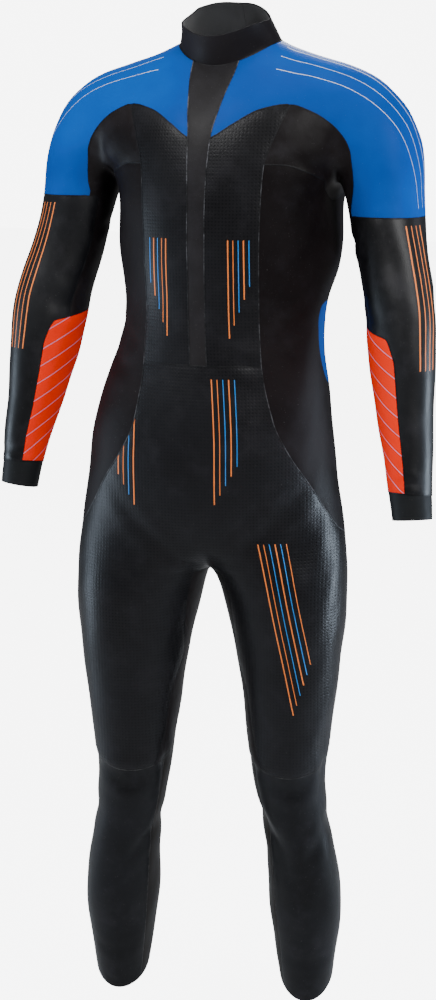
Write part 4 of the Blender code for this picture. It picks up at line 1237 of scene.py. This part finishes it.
tab_mesh = panel_mesh(skin, "collar_tab", panel_faces(skin, "collar_tab"), TAB_WALL, -SEAM_GAP - TAB_WALL)
tab = put("collar_tab_cloth", tab_mesh, cuff_rubber, LINING, FOAM_EDGE)
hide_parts("collar_tab")

# ---------------------------------------------------------------- seams
# Each seam is glued, blind-stitched from inside and sealed outside with a thin bead of liquid rubber. The
# beads on the throat strip, the flanks and the knees have picked up pale scuffs, and the knee beads are also
# painted pale grey: a painted highlight along the knee seams.

BEAD_EDGE_RISE = 0.00005
SCUFF_FADE = 0.12


def seam_material(name, colour, scuff, amount, scuffed_above=0.0):
    """Liquid rubber, with pale scuffs above a height and fewer below it."""
    material, place = new_material(name)
    height = remap(split(place)[2], scuffed_above - SCUFF_FADE, scuffed_above, 0.25, 1.0)
    share = remap(noise(place, 55.0, 4.0, 0.7), 0.40, 0.72, 0.0, amount) * height
    inputs = {"Base Color": mix_colour(share, colour, scuff), "Roughness": 0.5, "Specular IOR Level": 0.2}
    return finish(material, inputs, noise(place, 300.0) * 0.0003)


def bead(name, wanted, width, rise, material):
    """A low bead along every seam between the wanted kinds of panel."""
    layer = skin.faces.layers.int["panel"]
    rest = skin.verts.layers.float_vector["rest"]
    solid = bmesh.new()
    copy = solid.verts.layers.float_vector.new("rest")
    chosen, inward, made = [], {}, {}
    for edge in skin.edges:
        faces = sorted(edge.link_faces, key=lambda face: PANELS[face[layer]])
        kinds = [PANELS[face[layer]] for face in faces]
        if len(set(kinds)) < 2 or not wanted(kinds):
            continue
        loop = next(loop for loop in faces[0].loops if loop.edge is edge)
        start, end = loop.vert, loop.link_loop_next.vert
        chosen.append((start, end, "sleeve_" if set(kinds) & set(ARM_PANELS) else "trunk_"))
        direction = faces[0].normal.cross(end.co - start.co).normalized()
        for vert in (start, end):
            inward[vert] = inward.get(vert, Vector()) + direction

    def row(vert, place):
        """The three vertices across the bead at a point: low, high and low."""
        if (vert, place) not in made:
            across = inward[vert].normalized() * (width / 2.0)
            made[vert, place] = []
            for share, lift in ((1.0, BEAD_EDGE_RISE), (0.0, rise), (-1.0, BEAD_EDGE_RISE)):
                point = vert.co + across * share + vert.normal * lift
                new = solid.verts.new(turned(point, place))
                new[copy] = vert[rest]
                made[vert, place].append(new)
        return made[vert, place]

    for start, end, place in chosen:
        a, b = row(start, place), row(end, place)
        solid.faces.new((a[0], a[1], b[1], b[0]))
        solid.faces.new((a[1], a[2], b[2], b[1]))
    put(name, solid, material)


def is_throat_seam(kinds):
    return "centre_front" in kinds and "collar" not in kinds


def is_knee_seam(kinds):
    return kinds in (["front_lower", "shin"], ["calf", "shin"])


def is_flank_seam(kinds):
    return kinds in (["front", "side"], ["front_lower", "side"])


def is_body_seam(kinds):
    scuffed = is_throat_seam(kinds) or is_knee_seam(kinds) or is_flank_seam(kinds)
    return "collar_tab" not in kinds and not scuffed


seam_black = seam_material("seam_bead", (0.004, 0.004, 0.005), (0.020, 0.020, 0.023), 0.5)
seam_rubbed = seam_material("seam_bead_rubbed", (0.007, 0.007, 0.008), (0.085, 0.087, 0.096), 0.8)
seam_scuffed = seam_material("seam_bead_scuffed", (0.008, 0.008, 0.009), (0.110, 0.112, 0.125), 0.9, 1.34)
# painted highlight: the knee beads are painted pale grey where light catches the seam, with pale scuffs over
# it
knee_seam_painted_highlight = seam_material("seam_bead_painted_highlight", (0.016, 0.016, 0.017), (0.090, 0.088, 0.088), 0.8)
bead("seam_beads", is_body_seam, 0.0017, 0.00022, seam_black)
bead("flank_seam_beads", is_flank_seam, 0.0015, 0.00028, seam_rubbed)
bead("throat_seam_beads", is_throat_seam, 0.0016, 0.00030, seam_scuffed)
bead("knee_seam_beads", is_knee_seam, 0.0014, 0.00030, knee_seam_painted_highlight)

# ---------------------------------------------------------------- zip
# A plastic zip closes the back from the small of the back up to the collar. Its woven tapes are glued to the
# panels, its moulded teeth meet at the middle, and the metal slider stands at the top with its tab hanging.

TOOTH_SIZE = (0.0040, 0.0014, 0.0012)
TOOTH_PITCH = 0.0021
TOOTH_SHIFT = 0.0009
TOOTH_RISE = 0.0006
TOOTH_BEVEL = 0.0002
FIRST_TOOTH = 0.004
TAPE_RIB = 0.0011


def back_line():
    """Points down the middle of the back below the collar, highest first, each with its plain place."""
    rest = skin.verts.layers.float_vector["rest"]
    points = {vert for face in panel_faces(skin, "zip_tape") for vert in face.verts
              if abs(vert.co.x) < ON_CENTRE_LINE}
    return sorted(((vert.co.copy(), vert[rest].copy()) for vert in points), key=lambda pair: -pair[1].z)


def out_of_back(down):
    return Vector((0.0, -down.z, down.y))


def along_back(start, pitch):
    """Steps down the back: each a point, the direction down it and the direction out of it."""
    points = [point for point, rest in back_line()]
    lengths = np.concatenate(([0.0], np.cumsum([(b - a).length for a, b in zip(points, points[1:])])))
    for at in start + pitch * np.arange(int((lengths[-1] - start) / pitch)):
        upper = min(int(np.searchsorted(lengths, at, side="right")) - 1, len(points) - 2)
        share = (at - lengths[upper]) / (lengths[upper + 1] - lengths[upper])
        down = (points[upper + 1] - points[upper]).normalized()
        yield points[upper].lerp(points[upper + 1], share), down, out_of_back(down)


def woven(name, dark, light):
    """Tape: fine herringbone ribs."""
    material, place = new_material(name)
    x, y, z = split(place)
    ribs = calc("SINE", (z + abs(x)) * (math.tau / TAPE_RIB))
    base = mix_colour(ribs * 0.4 + 0.5, dark, light)
    return finish(material, {"Base Color": base, "Roughness": 0.8}, ribs * 0.0002)


def hard_material(name, dark, light, rough, spread, grain, metallic=0.0, relief=0.0):
    """Moulded plastic or lacquered zinc, with a fine grain of marks in its colour and its shine."""
    material, place = new_material(name, on_skin=False)
    marks = noise(place, *grain)
    roughness = remap(marks, 0.3, 0.7, rough - spread, rough + spread)
    inputs = {"Base Color": mix_colour(marks, dark, light), "Roughness": roughness, "Metallic": metallic}
    return finish(material, inputs, marks * relief if relief else None)


tape = woven("zip_tape_weave", (0.010, 0.010, 0.012), (0.030, 0.030, 0.034))
for side in SIDES:
    cloth_piece("zip_tape", side, tape)

across = Vector((1.0, 0.0, 0.0))
teeth = bmesh.new()
for index, (point, down, out) in enumerate(along_back(FIRST_TOOTH, TOOTH_PITCH)):
    centre = point + across * (TOOTH_SHIFT if index % 2 else -TOOTH_SHIFT) + out * TOOTH_RISE
    axes = Matrix((across, down, out)).transposed().to_4x4()
    matrix = Matrix.Translation(centre) @ axes @ Matrix.Diagonal((*TOOTH_SIZE, 1.0))
    made = bmesh.ops.create_cube(teeth, size=1.0, matrix=matrix)["verts"]
    edges = list(dict.fromkeys(edge for vert in made for edge in vert.link_edges))
    bmesh.ops.bevel(teeth, geom=edges, offset=TOOTH_BEVEL, segments=1, affect="EDGES")
for vert in teeth.verts:
    vert.co = turned(vert.co, "zip")
plastic = hard_material("zip_plastic", (0.020, 0.020, 0.022), (0.032, 0.032, 0.0352), 0.40, 0.05, (700.0,),
                        relief=0.0001)
put("zip_teeth", teeth, plastic, smooth=False)

# The slider hangs on the zip by its pin, whose place is the CAD joint's axis. Outlines are in pairs: across
# and down.
PIN = Vector((0.0, 0.12048, SHOULDER_HEIGHT + 0.07605))
PIN_HALF_LENGTH = 0.0046
PIN_RADIUS = 0.0011
PIN_RISE = 0.0034
SLIDER_HEIGHT = 1.553
SLIDER_THICKNESS = 0.0028
SHIELD = ((0.0, -0.0062), (0.0035, -0.0075), (0.0052, -0.0070), (0.0054, -0.0020), (0.0042, 0.0030),
          (0.0036, 0.0075))
EAR = ((0.0026, 0.0014), (0.0022, 0.0080), (0.0, 0.0086))
EAR_INSIDE = 0.0034
EAR_OUTSIDE = 0.0050
TONGUE = ((0.0020, 0.0024), (0.0021, 0.0080), (0.0027, 0.0120), (0.0027, 0.0275), (0.0018, 0.0295),
          (0.0, 0.0300))
TONGUE_BACK = -0.0005
TONGUE_FRONT = 0.0013
RIBS = 5
RIB_START = 0.0155
RIB_PITCH = 0.0023
RIB_HALF_LENGTH = 0.0019
RIB_RADIUS = 0.0004
EYE_SIDES = 24
EYE_INSIDE = 0.0016
EYE_OUTSIDE = 0.0025
EYE_HALF_WIDTH = 0.0027
SOFTENED_CORNER = 0.9


def plate(half_outline, low, high, axes, origin, bevel):
    """A flat metal shape with softened edges, from the right half of its outline."""
    across, down, out = axes
    outline = [*half_outline, *((-u, v) for u, v in reversed(half_outline) if u)]
    bm = bmesh.new()
    lower, upper = [[bm.verts.new(origin + across * u + down * v + out * lift) for u, v in outline]
                    for lift in (low, high)]
    bm.faces.new(lower)
    bm.faces.new(upper[::-1])
    for i in range(len(outline)):
        bm.faces.new((lower[i], lower[i - 1], upper[i - 1], upper[i]))
    bmesh.ops.recalc_face_normals(bm, faces=bm.faces[:])
    sharp = [edge for edge in bm.edges if edge.calc_face_angle(0.0) > SOFTENED_CORNER]
    bmesh.ops.bevel(bm, geom=sharp, offset=bevel, segments=2, affect="EDGES")
    return bm


def add_to(target, other):
    mesh = bpy.data.meshes.new("part")
    other.to_mesh(mesh)
    other.free()
    target.from_mesh(mesh)


def rod(middle, half_length, radius, segments=16):
    """A round rod that lies across the back."""
    bm = bmesh.new()
    turn = across.to_track_quat("Z", "Y").to_matrix().to_4x4()
    bmesh.ops.create_cone(bm, cap_ends=True, segments=segments, radius1=radius, radius2=radius,
                          depth=2.0 * half_length, matrix=Matrix.Translation(middle) @ turn)
    return bm


def eye():
    """The round eye by which the pull hangs on the pin."""
    bm = bmesh.new()
    section = ((EYE_INSIDE, -EYE_HALF_WIDTH), (EYE_INSIDE, EYE_HALF_WIDTH),
               (EYE_OUTSIDE, EYE_HALF_WIDTH), (EYE_OUTSIDE, -EYE_HALF_WIDTH))
    rings = []
    for index in range(EYE_SIDES):
        turn = math.tau * index / EYE_SIDES
        spoke = down * math.cos(turn) + out * math.sin(turn)
        rings.append([bm.verts.new(PIN + spoke * radius + across * beside) for radius, beside in section])
    for before, after in zip(rings, rings[1:] + rings[:1]):
        for i in range(4):
            bm.faces.new((before[i], before[i - 1], after[i - 1], after[i]))
    bmesh.ops.recalc_face_normals(bm, faces=bm.faces[:])
    return bm


plain_points = [rest for point, rest in back_line()]
above, below = next((a, b) for a, b in zip(plain_points, plain_points[1:]) if b.z < SLIDER_HEIGHT)
down = (below - above).normalized()
out = out_of_back(down)
seat_point = PIN - out * (SEAM_GAP + SLIDER_THICKNESS + PIN_RISE)

slider = plate(SHIELD, SEAM_GAP, SEAM_GAP + SLIDER_THICKNESS, (across, down, out), seat_point, 0.0004)
for side in (1.0, -1.0):
    add_to(slider, plate(EAR, side * EAR_INSIDE, side * EAR_OUTSIDE, (down, out, across), seat_point, 0.0003))
add_to(slider, rod(PIN, PIN_HALF_LENGTH, PIN_RADIUS))

pull = plate(TONGUE, TONGUE_BACK, TONGUE_FRONT, (across, down, out), PIN, 0.0004)
for index in range(RIBS):
    middle = PIN + down * (RIB_START + RIB_PITCH * index) + out * TONGUE_FRONT
    add_to(pull, rod(middle, RIB_HALF_LENGTH, RIB_RADIUS, segments=8))
add_to(pull, eye())

zinc = hard_material("zip_zinc", (0.25, 0.25, 0.26), (0.375, 0.375, 0.39), 0.34, 0.08, (900.0, 4.0, 0.7),
                     metallic=1.0)
for node, mesh, body in (("zip_slider", slider, "suit"), ("zip_pull", pull, "pull")):
    item = put(f"{node}_metal", mesh, zinc, body=body)
    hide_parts(node)

# ---------------------------------------------------------------- floor, light and camera
# A pale seamless floor at the height of the wearer's soles, large soft lamps on both sides, and the camera
# where the photograph was taken: a little above the shoulders and to the wearer's left.

WHITE = (1.0, 1.0, 1.0)
FLOOR_GLOW = 6.4
SKY_GLOW = 7.0
SKY_LIGHT = 0.14
CAMERA_TURN = math.radians(22.0)
CAMERA_TILT = math.radians(13.25)
CAMERA_DISTANCE = 2.5
CAMERA_SHIFT = -0.0065
CAMERA_HEIGHT = 0.02
CAMERA_LENS = 62.7


def camera_ray(tree):
    """1 where the camera sees a surface itself, 0 where only light reaches it."""
    return Reading(add_node(tree, "LightPath", {}).outputs["Is Camera Ray"])


floor_mesh = bpy.data.meshes.new("floor")
corners = [(x, y, -SHOULDER_HEIGHT) for x, y in ((-12.0, -9.0), (12.0, -9.0), (12.0, 15.0), (-12.0, 15.0))]
floor_mesh.from_pydata(corners, [], [(0, 1, 2, 3)])
floor = bpy.data.objects.new("floor", floor_mesh)
bpy.context.collection.objects.link(floor)
floor_paint, place = new_material("floor_paint", on_skin=False)
floor_mesh.materials.append(finish(floor_paint, {
    "Base Color": mix_colour(noise(place, 2.0), (0.52, 0.52, 0.53), (0.56, 0.56, 0.56)), "Roughness": 0.9,
    "Emission Color": WHITE, "Emission Strength": camera_ray(floor_paint.node_tree) * FLOOR_GLOW}))

world = bpy.data.worlds.new("studio")
world.use_nodes = True
glow = camera_ray(world.node_tree) * SKY_GLOW + SKY_LIGHT
feed(world.node_tree.nodes["Background"], {"Color": WHITE, "Strength": glow})
bpy.context.scene.world = world


def softbox(name, place, target_z, width, height, power, tint=WHITE):
    lamp = bpy.data.lights.new(name, "AREA")
    lamp.shape = "RECTANGLE"
    lamp.size = width
    lamp.size_y = height
    lamp.energy = power
    lamp.color = tint
    item = bpy.data.objects.new(name, lamp)
    item.location = place
    item.rotation_euler = (Vector((0.0, 0.0, target_z)) - Vector(place)).to_track_quat("-Z", "Y").to_euler()
    item.visible_camera = False
    bpy.context.collection.objects.link(item)


softbox("key", (-1.1, -2.4, 2.0), -0.35, 1.4, 1.2, 82.0)
softbox("fill", (2.3, -1.9, 1.4), -0.45, 1.0, 1.2, 76.0)
softbox("strip_left", (-1.45, -0.45, -0.80), -0.75, 0.34, 1.0, 15.0, (0.70, 0.84, 1.0))
softbox("strip_right", (1.50, 0.45, -0.75), -0.70, 0.34, 0.9, 30.0, (0.72, 0.85, 1.0))
softbox("side_right", (2.3, 1.1, 0.6), -0.20, 0.4, 1.0, 5.0, (0.90, 0.90, 1.0))
softbox("top", (0.2, -0.2, 2.4), 0.0, 1.2, 1.2, 26.0)
softbox("back", (-0.8, 3.0, 1.4), -0.40, 1.2, 1.4, 90.0)

camera_data = bpy.data.cameras.new("camera")
camera_data.lens = CAMERA_LENS
camera = bpy.data.objects.new("camera", camera_data)
aim = Matrix.Rotation(CAMERA_TURN, 3, "Z")
camera.location = aim @ Vector((CAMERA_SHIFT, -CAMERA_DISTANCE, CAMERA_HEIGHT))
camera.rotation_euler = (math.radians(90.0) - CAMERA_TILT, 0.0, CAMERA_TURN)
bpy.context.collection.objects.link(camera)
bpy.context.scene.camera = camera

skin.free()
